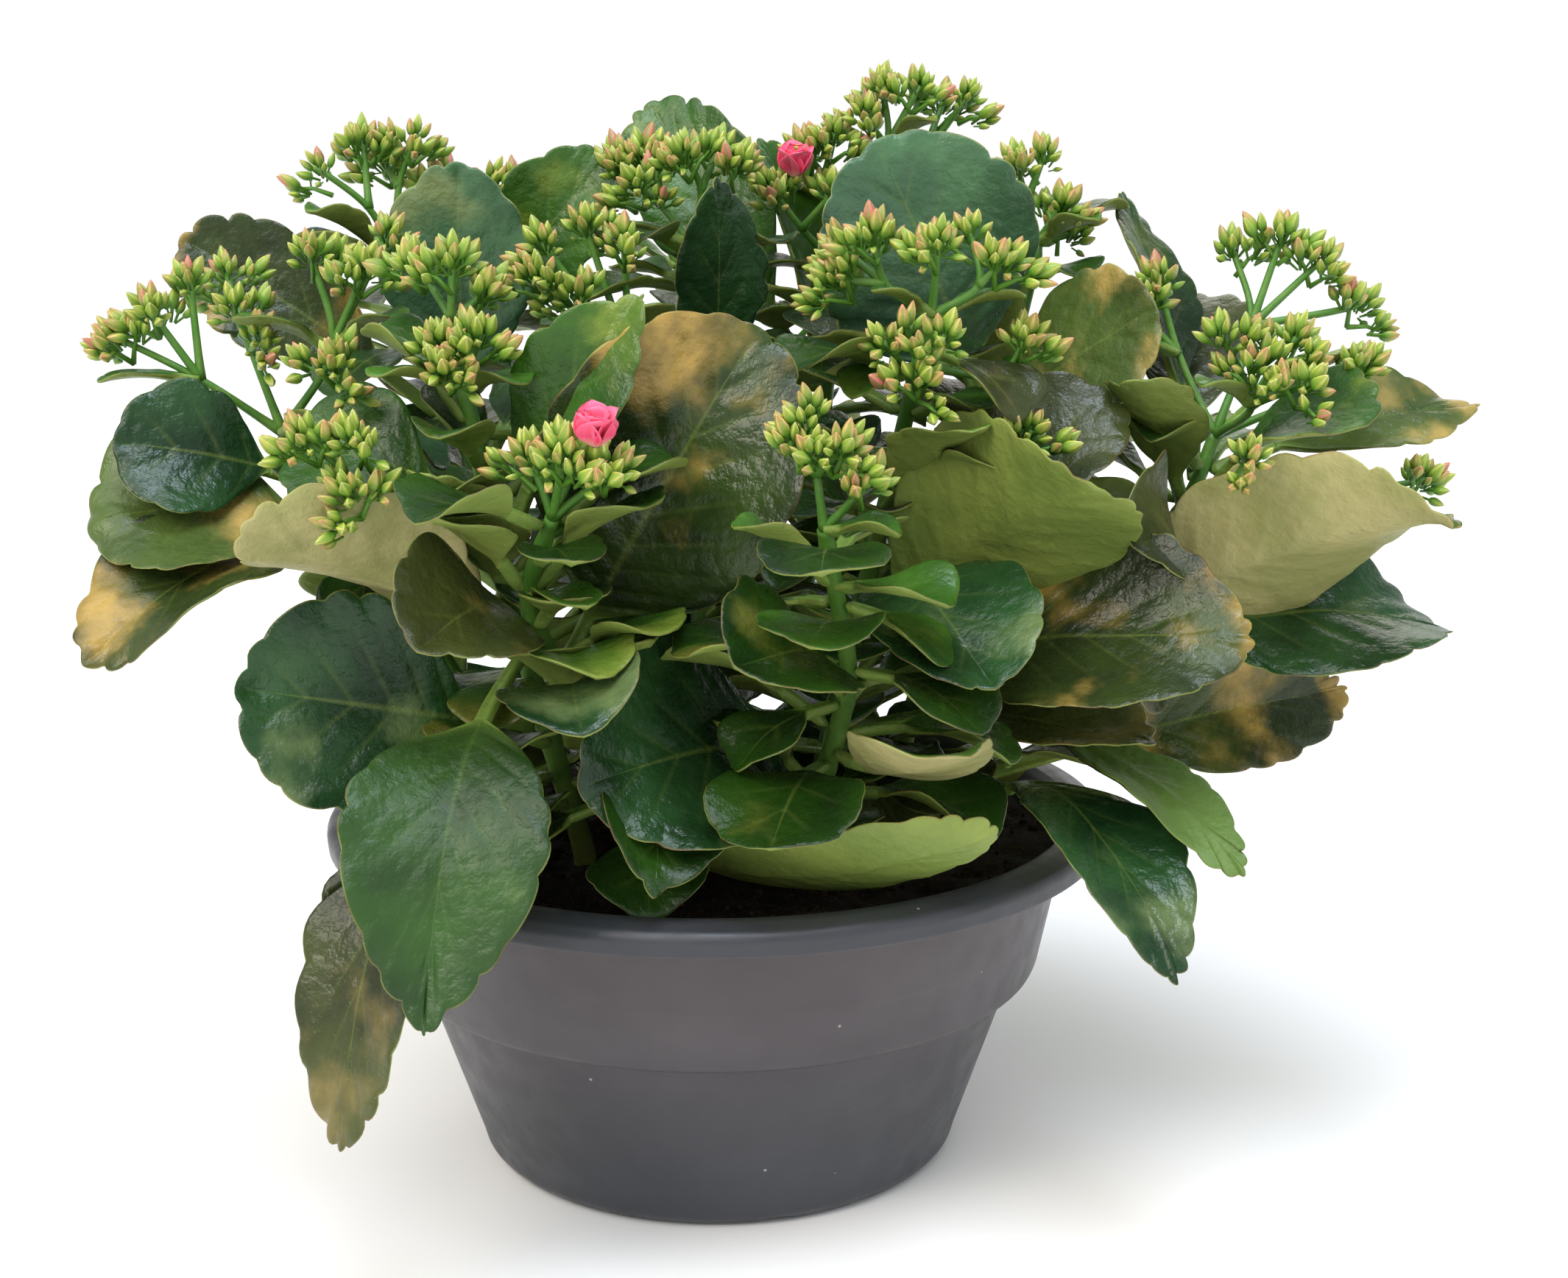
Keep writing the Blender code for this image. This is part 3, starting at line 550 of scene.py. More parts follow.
@dataclass(frozen=True)
class MouldedPot(Finish):
    """Injection moulded polypropylene, anthracite: it gives a satin grey, with painted light and
    shade: lighter and warmer at the top, darker and cooler towards the foot and darker on the lip;
    with faint flow bands, fine scuffs and a few specks of dust and potting grit."""

    name: str = "moulded_polypropylene"

    def build(self) -> bpy.types.Material:
        """The material."""
        material, tree, principled = self.start(self.name, IOR=1.49)
        where = add(tree, "TexCoord").outputs["Object"]
        height = add(tree, "SeparateXYZ", {0: where}).outputs[2]
        # Painted light and shade: the grey is lighter and warmer at the top and darker and cooler
        # towards the foot.
        painted_light_by_height = self.ranged(tree, height, 0.0, 0.1)
        flow = self.speckle(tree, 0.05, 3.0, add(tree, "Mapping", {
            "Vector": where, "Scale": (0.5, 0.5, 1.6)}).outputs[0])
        shaded_foot_grey = self.mixed(tree, self.ranged(tree, flow, 0.35, 0.65), linear("#2f3136"),
                          linear("#37393f"))
        warm = self.mixed(tree, self.ranged(tree, flow, 0.35, 0.65), linear("#443c3e"),
                          linear("#4b4446"))
        colour = self.mixed(tree, painted_light_by_height, shaded_foot_grey, warm)
        # Painted shade: the lip is painted darker.
        lip = self.ranged(tree, height, 0.0955, 0.097)
        colour = self.mixed(tree, lip, colour, linear("#303136"))
        grit = add(tree, "TexVoronoi", {"Vector": where, "Scale": 150.0}, feature="F1")
        rare = add(tree, "SeparateXYZ", {0: grit.outputs["Color"]}).outputs[0]
        spot = add(tree, "Math", {0: self.ranged(tree, grit.outputs["Distance"], 0.05, 0.085,
                                                 1.0, 0.0),
                                  1: self.ranged(tree, rare, 0.88, 0.89)},
                   operation="MULTIPLY").outputs[0]
        colour = self.mixed(tree, add(tree, "Math", {0: spot, 1: 0.6},
                                      operation="MULTIPLY").outputs[0],
                            colour, linear("#b9b2a6"))
        tree.links.new(colour, principled.inputs["Base Color"])
        scuff = self.speckle(tree, 0.009, 5.0)
        tree.links.new(self.ranged(tree, scuff, 0.3, 0.7, 0.36, 0.5),
                       principled.inputs["Roughness"])
        self.relief(tree, principled, self.speckle(tree, 0.0016, 2.0), 0.00012, 0.5)
        return material


@dataclass(frozen=True)
class PeatMix(Finish):
    """Moist peat potting mix, coarse milled: nearly black, dull, with brown fibres and crumbs."""

    name: str = "milled_peat"

    def build(self) -> bpy.types.Material:
        """The material."""
        material, tree, principled = self.start(self.name, IOR=1.33)
        coarse, fine = self.speckle(tree, 0.006, 4.0), self.speckle(tree, 0.0012, 3.0)
        dark = self.mixed(tree, self.ranged(tree, coarse, 0.4, 0.65), linear("#14100d"),
                          linear("#2a1f17"))
        colour = self.mixed(tree, self.ranged(tree, fine, 0.56, 0.66, 0.0, 0.8), dark,
                            linear("#4b3423"))
        tree.links.new(colour, principled.inputs["Base Color"])
        tree.links.new(self.ranged(tree, fine, 0.3, 0.7, 0.82, 1.0), principled.inputs["Roughness"])
        self.relief(tree, principled, fine, 0.0009)
        return material


@dataclass(frozen=True)
class StudioPaper(Finish):
    """Rolled backdrop paper: near white, matt, with a breath of unevenness."""

    name: str = "white_backdrop_paper"

    def build(self) -> bpy.types.Material:
        """The material."""
        material, tree, principled = self.start(self.name, Specular_IOR_Level=0.1)
        cloud = self.speckle(tree, 0.4)
        tree.links.new(self.mixed(tree, cloud, linear("#f4f3f1"), linear("#fbfaf8")),
                       principled.inputs["Base Color"])
        tree.links.new(self.ranged(tree, cloud, 0.3, 0.7, 0.85, 0.95),
                       principled.inputs["Roughness"])
        return material


class Tone(Enum):
    """The leaf finishes, by how age has coloured the leaf and by how much painted highlight and
    painted reflection is in their colours.
    """

    DEEP = LeafTissue("leaf_deep_green", "#11290a", "#264711", "#6d6c2c", 0.12)
    BLUE = LeafTissue("leaf_blue_green", "#122d14", "#274b24", "#66774a", 0.12, sheen_low=0.21)
    # This lighter grey green is partly the leaf's own colour and partly a painted reflection of the
    # bright sky on its gloss.
    PALE = LeafTissue("leaf_grey_green_painted_reflection", "#34543a", "#4c724c", "#7d8a58", 0.12, sheen_low=0.24)
    SATIN = LeafTissue("leaf_satin_green", "#1e3913", "#2f511b", "#7d8a48", 0.1,
                       under="#5c7838", under_vein="#4b672e", sheen_low=0.34)
    DULL = LeafTissue("leaf_dusty_green", "#66793f", "#788c4c", "#939c5c", 0.2, sheen_low=0.44)
    # The next three carry large gold patches: painted highlights, gold sheen painted into the colour.
    GOLD_HIGHLIGHT = LeafTissue("leaf_gold_highlight", "#1f2a12", "#37461a", "#b3934a", 0.62, toward_tip=0.0)
    PALE_GOLD_HIGHLIGHT = LeafTissue("leaf_pale_gold_highlight", "#37491f", "#52652c", "#bd9f58", 0.58, toward_tip=0.0)
    GOLD_HIGHLIGHT_TIP = LeafTissue("leaf_gold_highlight_tip", "#1d2a12", "#33461a", "#b3934a", 0.2,
                          sheen_low=0.2, toward_tip=0.1)
    FRESH = LeafTissue("leaf_fresh_green", "#254711", "#3c661b", "#7f8e34", 0.15)
    OLIVE = LeafTissue("leaf_olive", "#272e14", "#414921", "#7f7040", 0.3)
    CREAM = LeafTissue("leaf_cream_beneath", "#2d4617", "#465f21", "#8e8440", 0.3,
                       under="#a59e68", under_vein="#7b8145")
    YOUNG = LeafTissue("leaf_young", "#2c5216", "#477323", "#7d8a38", 0.15)


# ---------------------------------------------------------------- leaves

PETIOLE_SHARE = 0.24
PETIOLE_HALF = 2.2 * MM
EARLY = 0.2  # share of the columns that the petiole takes


@dataclass(frozen=True)
class Outline:
    """How a blade differs from the common spoon shape.

    belly places its widest part: 1.3 is past the middle and 0.8 before it. point is 0.5 for a
    round tip and 0.9 for a sharp one. wide is its width as a share of its solid's, wave how
    strongly its margin waves, twist the radians that it turns from foot to tip, curl how far
    its tip bends back, as a share of its length, and neck the petiole's share of the leaf.
    """

    belly: float = 1.3
    point: float = 0.5
    wide: float = 1.0
    wave: float = 1.0
    twist: float = 0.0
    curl: float = 0.0
    neck: float = PETIOLE_SHARE


@dataclass(frozen=True)
class Blade:
    """Where one leaf lies and how big it is.

    root and tip are its ends, upper the direction that its face looks to, arch how far its
    middle stands out that way, cup how much its margins rise, and seed varies its outline.
    """

    root: Array
    tip: Array
    upper: Array
    width: float
    arch: float
    cup: float
    seed: int
    petiole: float = PETIOLE_SHARE
    thickness: float = 1.6 * MM
    form: Outline = Outline()

    @classmethod
    def from_node(cls, node: bpy.types.Object, seed: int, form: Outline) -> Blade:
        """Reads a leaf back from its solid: two end points and six rings of eight corners.

        Args:
            node: the frame's leaf.
            seed: varies its outline.
            form: how its blade differs from the common shape.

        Returns:
            The leaf's place and size.
        """
        merged = bmesh.new()
        merged.from_mesh(node.data)
        bmesh.ops.remove_doubles(merged, verts=merged.verts, dist=0.01 * MM)
        points = np.array([v.co[:] for v in merged.verts])
        merged.free()
        gaps = np.linalg.norm(points[:, None] - points[None], axis=2)
        ends = np.unravel_index(gaps.argmax(), gaps.shape)
        root, tip = sorted(ends, key=lambda end: np.sort(gaps[end])[1:9].mean())
        length = gaps[root, tip]
        along = (points[tip] - points[root]) / length
        rest = np.delete(np.arange(len(points)), [root, tip])
        rest = rest[np.argsort((points[rest] - points[root]) @ along)]
        rings = points[rest].reshape(6, 8, 3)
        wide = rings[3]
        between = np.linalg.norm(wide[:, None] - wide[None], axis=2)
        left, right = np.unravel_index(between.argmax(), between.shape)
        half, middle = between.max() / 2.0, (wide[left] + wide[right]) / 2.0
        side = (wide[right] - wide[left]) / (2.0 * half)
        order = np.argsort(np.abs((wide - middle) @ side))
        lift = wide[order[2:4]].mean(0) - wide[order[4:6]].mean(0)
        upper = np.cross(side, along)
        upper = unit(upper * np.sign(upper @ lift))
        neck = rings[1]
        spread = np.linalg.norm(neck[:, None] - neck[None], axis=2)
        first, second = np.unravel_index(spread.argmax(), spread.shape)
        rise = ((neck[first] + neck[second]) / 2.0 - points[root]) @ upper
        arch = rise / math.sin(math.pi * PETIOLE_SHARE)
        crown = arch * math.sin(math.pi * 0.63)
        cup = ((middle - points[root]) @ upper - crown) / half
        return cls(points[root], points[tip], upper, 2.0 * half * form.wide, arch, float(cup),
                   seed, form.neck, form=form)

    def bent(self, across: Array, along: Array, lift: Array) -> Array:
        """Lays flat leaf points on the bent leaf: the chord's point, plus the arch's sine times
        its height, less the curl times the share's fourth power, plus the cup's parabola, plus
        the lift square to the arch. The side direction turns with the twist along the leaf.

        Args:
            across: metres to the side of the midrib.
            along: share of the leaf's length.
            lift: metres out of the leaf's own surface.

        Returns:
            The points.
        """
        chord = self.tip - self.root
        length = np.linalg.norm(chord)
        ahead = chord / length
        upper = unit(self.upper - ahead * (self.upper @ ahead))
        side = np.cross(upper, ahead)
        curl = self.form.curl * length
        slope = (self.arch * np.pi * np.cos(np.pi * along) - 4.0 * curl * along**3) / length
        out = unit(upper - ahead * slope[..., None])
        rise = self.arch * np.sin(np.pi * along) - curl * along**4
        spine = self.root + chord * along[..., None] + upper * rise[..., None]
        turn = (self.form.twist * (along - 0.45))[..., None]
        wing = side * np.cos(turn) + out * np.sin(turn)
        out = out * np.cos(turn) - side * np.sin(turn)
        bowl = self.cup * across**2 / (0.5 * self.width)
        return spine + wing * across[..., None] + out * (lift + bowl)[..., None]

    def shell(self, pitch: float = 1.3 * MM, rows: int = 11, finish: int = 0) -> Shell:
        """The leaf's closed surface.

        Columns run round the margin from the petiole's foot over the tip and back, and rows from
        the midrib out to the margin, so that they follow the side veins. The half width is the
        smooth maximum of the petiole's and of sin(pi b^belly)^point for a share b of the blade,
        with a higher power near the stalk. The margin swings out by |cos|^0.5 at each side vein,
        which makes its rounded teeth.

        Args:
            pitch: metres between columns at the margin.
            rows: points from midrib to margin.
            finish: the finish of every face.

        Returns:
            The upper and lower sides, which meet at the margin.
        """
        length = np.linalg.norm(self.tip - self.root)
        rng = np.random.default_rng(self.seed)
        half_count = int(np.clip(1.25 * length / pitch, 26, 96))
        m = np.linspace(-1.0, 1.0, 2 * half_count + 1)
        turn = np.clip((1.0 - np.abs(m) - EARLY) / (1.0 - EARLY), 0.0, 1.0)
        early = np.clip((1.0 - np.abs(m)) / EARLY, 0.0, 1.0)
        b = (1.0 - np.cos(np.pi * turn)) / 2.0
        y = np.where(turn > 0, self.petiole + (1.0 - self.petiole) * b, self.petiole * early)
        power = self.form.point + (0.9 - min(self.form.point, 0.8)) * (1.0 - b) ** 3
        blade = 0.51 * self.width * np.sin(np.pi * b**self.form.belly).clip(0.0) ** power
        close = np.sqrt(1.0 - (1.0 - np.clip(y / 0.02, 0.0, 1.0)) ** 2)
        stalk = PETIOLE_HALF * close * np.sqrt(1.0 - b)
        half = (blade**4 + stalk**4) ** 0.25
        margin = np.stack([np.sign(m) * half, y * length], -1)
        along = np.gradient(margin, axis=0)
        normal = np.stack([-along[:, 1], along[:, 0]], -1)
        normal /= np.linalg.norm(normal, axis=1, keepdims=True) + 1e-12
        teeth = max(3, round(1.15 * length * (1.0 - self.petiole) / (9.5 * MM)))
        vein = teeth * (1.0 - turn) * np.sign(m)
        jitter = 0.22 * np.sin(2.3 * vein + rng.uniform(0, 6.3))
        tooth = np.abs(np.cos(np.pi * (vein + jitter * ease(np.abs(vein), 0.0, 1.0)))) ** 0.5 - 0.7
        depth = rng.uniform(0.75, 1.25) * min(1.9 * MM, 0.03 * length)
        swell = depth * (1.0 + 0.4 * np.sin(1.7 * vein + rng.uniform(0, 6.3)))
        margin = margin + normal * (tooth * swell * ease(turn, 0.22, 0.45))[:, None]
        margin[half_count, 0] = 0.0
        start = y * (1.0 - 0.3 * np.sin(np.pi * turn)) - 0.08 * turn**2
        r = np.sin(np.linspace(0.0, np.pi / 2.0, rows))[None]
        across = margin[:, :1] * r
        share = start[:, None] + (margin[:, 1:] / length - start[:, None]) * r
        turn, blade_share = np.broadcast_arrays(turn[:, None], b[:, None] + 0 * r)[:2]
        vein = np.broadcast_to(vein[:, None], across.shape)
        size = self.width / (60.0 * MM)
        waves = rng.uniform(1.2, 2.4)
        lift = self.form.wave * size * rng.uniform(1.8, 3.8) * MM * r**2 * np.sin(
            np.pi * waves * m[:, None] * 2 + rng.uniform(0, 6.3)) * ease(turn, 0.1, 0.5)
        lift += 0.5 * MM * size * r**4 * np.cos(2 * np.pi * vein) * ease(turn, 0.2, 0.5)
        lift += rng.uniform(-0.05, 0.26) * np.abs(across) * ease(turn, 0.1, 0.5)
        flat = np.stack([across, share * length, np.full_like(across, 0.37 * self.seed)], -1)
        lift += size * 2.4 * MM * value_noise(flat, 24 * MM, self.seed) * ease(turn, 0.05, 0.4)
        lift += 0.3 * MM * value_noise(flat, 8 * MM, self.seed + 1) * ease(turn, 0.05, 0.4)
        furrow = np.abs(np.cos(np.pi * vein)) ** 6 * np.sin(np.pi * r**0.8)
        lift -= 0.55 * MM * size * furrow * ease(turn, 0.1, 0.3)
        gutter = np.exp(-((across / (1.3 * MM)) ** 2)) * ease(share, 0.02, 0.1)
        lift -= 0.45 * MM * gutter * (1.0 - 0.7 * blade_share)
        thick = self.thickness * (0.5 + 0.4 * (1.0 - blade_share) ** 3) * np.where(
            blade_share > 0.02, (1.0 - r**10) ** 0.5, (1.0 - r**4) ** 0.5)
        thick *= np.sqrt(1.0 - (1.0 - np.clip(share / 0.02, 0.0, 1.0)) ** 2)
        keel = 0.6 * MM * gutter * (1.0 - 0.8 * blade_share)
        lay = np.stack([np.broadcast_to(r, across.shape), vein], -1)
        sides = []
        for upper, offset in ((1.0, thick), (0.0, -thick - keel * (1.0 - r**2))):
            tone = np.stack([np.full_like(across, upper), blade_share], -1)
            sides.append(Shell.grid(self.bent(across, share, lift + offset), lay, tone, finish,
                                    turned=upper > 0.5))
        return Shell.joined(sides)


def direction(azimuth: float, elevation: float) -> Array:
    """The unit vector at an azimuth from +X and an elevation, both in degrees."""
    turn, rise = math.radians(azimuth), math.radians(elevation)
    return np.array([math.cos(turn) * math.cos(rise), math.sin(turn) * math.cos(rise),
                     math.sin(rise)])


# ---------------------------------------------------------------- flower stems


@dataclass(frozen=True)
class Bowl:
    """The bowl's overall sizes, read from the frame, which place everything else."""

    rim_radius: float
    height: float

    @classmethod
    def from_frame(cls) -> Bowl:
        """The sizes of the frame's pot."""
        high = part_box("pot")[1]
        return cls(high.x, high.z)

    def place(self, rows: object) -> Array:
        """Rows of millimetres as metres in the bowl's frame."""
        scale = np.array([self.rim_radius / 115.0, self.rim_radius / 115.0, MM])
        return np.asarray(rows, float) * scale + UP * self.height


@dataclass(frozen=True)
class FlowerStem:
    """One stem: its axis from the soil up, the stalks that fork from it, each to the middle of
    a bud head, and (fork, tip, width) of each young leaf under the heads."""

    axis: tuple
    stalks: tuple
    bracts: tuple = ()

    FOOT = 3.3 * MM  # stem radius at the soil
    STALK = 1.0 * MM
    NODE = 26.0 * MM  # between the swellings where leaves have stood
    BUD = 5.9 * MM
    # by ring, from the middle bud outwards: the lean in degrees, the way out and up in
    # millimetres, and the shares of full size and of full ripeness
    LEAN = (3.0, 21.0, 46.0, 80.0)
    SPREAD = (0.0, 1.9, 3.6, 4.2)
    RISE = (1.6, 0.6, -1.2, -4.0)
    RING_SIZE = (1.06, 1.0, 0.86, 0.66)
    RING_RIPE = (1.1, 1.0, 0.9, 0.7)

    def line(self, bowl: Bowl) -> Array:
        """The stem's own smooth axis, with a foot in the soil."""
        knots = bowl.place(self.axis)
        foot = knots[:1] - UP * 14 * MM
        return smooth_path(np.vstack([foot, knots]), 14)

    def stalk_shells(self, bowl: Bowl) -> Shell:
        """The axis and its stalks: tubes that narrow upward, thicker at each leaf node and
        where a stalk forks."""
        line = self.line(bowl)
        run = np.concatenate([[0.0], np.cumsum(np.linalg.norm(np.diff(line, axis=0), axis=1))])
        share = run / run[-1]
        swell = 1.0 + 0.16 * np.exp(-(((run / self.NODE + 0.5) % 1.0 - 0.5) / 0.07) ** 2)
        shells = [tube(line, self.FOOT * (1.0 - 0.4 * share) * swell, 14)]
        shells[0].tone[:, 0] = np.clip(
            (shells[0].points[:, 2] - bowl.height + 10 * MM) / (110 * MM), 0.0, 1.0)
        for stalk in self.stalks:
            path = smooth_path(bowl.place(stalk), 8)
            t = np.linspace(0.0, 1.0, len(path))
            radii = self.STALK * (1.22 - 0.32 * t + 0.3 * np.exp(-((t / 0.12) ** 2)))
            shells.append(tube(path, radii, 9, (1.0, 0.0)))
        return Shell.joined(shells)

    def young_leaves(self, bowl: Bowl, seed: int) -> Shell:
        """The young leaves under the bud heads."""
        shells = []
        for i, (fork, tip, width) in enumerate(self.bracts):
            root, end = bowl.place(fork), bowl.place(tip)
            ahead = unit(end - root)
            length = float(np.linalg.norm(end - root))
            blade = Blade(root, end, UP - 0.6 * ahead, width * MM * 1.05, 0.06 * length, 0.2,
                          seed + i, petiole=0.16, thickness=1.3 * MM)
            shells.append(blade.shell(1.5 * MM, 8))
        return Shell.joined(shells)

    @classmethod
    def bud(cls) -> Shell:
        """One closed bud standing on the origin: a slim stalk, a calyx, a tube that swells and
        narrows to a point, four-lobed in section."""
        rows = np.array([(-4.2, 0.0), (-4.1, 0.42), (-0.6, 0.5), (0.0, 1.15), (1.1, 1.55),
                         (2.4, 1.62), (4.0, 1.15), (5.2, 0.55), (5.9, 0.0)]) * MM
        turn = np.linspace(0.0, 2.0 * np.pi, 8, endpoint=False)[:, None]
        radius = rows[None, :, 1] * (1.0 + 0.13 * np.cos(4.0 * turn))
        height = np.broadcast_to(rows[None, :, 0], radius.shape)
        points = np.stack([np.cos(turn) * radius, np.sin(turn) * radius, height], -1)
        lay = np.stack([np.clip(height / cls.BUD, 0.0, 1.0),
                        np.broadcast_to(turn / (2 * np.pi), radius.shape)], -1)
        return Shell.grid(points, lay, np.zeros_like(lay), around=True)

    def buds(self, bowl: Bowl, seed: int) -> Shell:
        """The buds of every head: one on the stalk's end and three rings round it, each of which
        stands further out, lower and leans more than the last. Two or three lesser heads of a
        few buds stand round the main one, on short side stalks.

        Args:
            bowl: places the rows.
            seed: varies the heads.

        Returns:
            All the buds and the side stalks.
        """
        rng = np.random.default_rng(seed)
        places, aims, sizes, tones, stalks = [], [], [], [], []
        for stalk in self.stalks:
            ends = bowl.place(stalk[-2:])
            axis = unit(unit(ends[1] - ends[0]) + 0.9 * UP)
            side = unit(np.cross(axis, (0.3, 0.8, 0.1)))
            front = np.cross(axis, side)
            heads = [(ends[1], axis, (1, rng.integers(3, 6), rng.integers(4, 7),
                                      rng.integers(1, 4)))]
            first = rng.uniform(0.0, 6.3)
            for number in range(rng.integers(1, 4)):
                way = first + number * 2.2 + rng.normal(0.0, 0.2)
                out = math.cos(way) * side + math.sin(way) * front
                foot = ends[1] - axis * 9.0 * MM
                top = ends[1] + out * rng.uniform(6.5, 8.5) * MM - axis * rng.uniform(1, 5) * MM
                heads.append((top, unit(axis + 0.75 * out), (1, rng.integers(2, 5),
                                                             rng.integers(1, 4), 0)))
                path = np.stack([foot, foot * 0.45 + top * 0.55 + axis * MM, top])
                stalks.append(tube(path, np.array([0.8, 0.62, 0.5]) * MM, 6))
            for middle, aim_at, counts in heads:
                level = np.repeat(np.arange(4), counts)
                count = len(level)
                across = unit(np.cross(aim_at, (0.3, 0.8, 0.1)))
                lean = np.radians(np.array(self.LEAN))[level]
                lean = lean + rng.normal(0.0, 0.12, count)
                around = np.concatenate([np.arange(n) / max(n, 1) + rng.uniform()
                                         for n in counts])
                around = around * 2 * np.pi + rng.normal(0.0, 0.16, count)
                out = (np.cos(around)[:, None] * across
                       + np.sin(around)[:, None] * np.cross(aim_at, across))
                size = rng.uniform(0.72, 1.12, count) * np.array(self.RING_SIZE)[level]
                ripe = rng.uniform(0.0, 1.0, count) * np.array(self.RING_RIPE)[level]
                spread = np.array(self.SPREAD)[level][:, None] * MM
                rise = np.array(self.RISE)[level][:, None] * MM
                places.append(middle + out * spread + aim_at * rise)
                aims.append(np.cos(lean)[:, None] * aim_at + np.sin(lean)[:, None] * out)
                sizes.append(np.stack([size * rng.uniform(0.86, 1.06, count)] * 2 + [size], -1))
                tones.append(np.stack([ripe, rng.uniform(0.0, 1.0, count)], -1))
        aim = np.vstack(aims)
        first = unit(np.cross(aim, rng.uniform(0.0, 1.0, aim.shape) - 0.5))
        turns = np.stack([first, np.cross(aim, first), aim], -1)
        heads = self.bud().copies(np.vstack(places), turns, np.vstack(sizes), np.vstack(tones))
        side_stalks = Shell.joined(stalks)
        side_stalks.lay[:] = (0.0, 0.125)
        return Shell.joined([heads, side_stalks])

    def build(self, letter: str, bowl: Bowl, seed: int, stem: bpy.types.Material,
              leaf: bpy.types.Material, bud: bpy.types.Material) -> None:
        """Makes this stem's three pieces: stalks, young leaves and buds."""
        stalks = self.stalk_shells(bowl).piece(f"stalks_{letter}", [stem], "stem_green")
        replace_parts(stalks, f"flower_stem_{letter}")
        self.young_leaves(bowl, seed).piece(f"young_leaves_{letter}", [leaf], "leaf_green")
        self.buds(bowl, seed).piece(f"buds_{letter}", [bud], "bud_green")


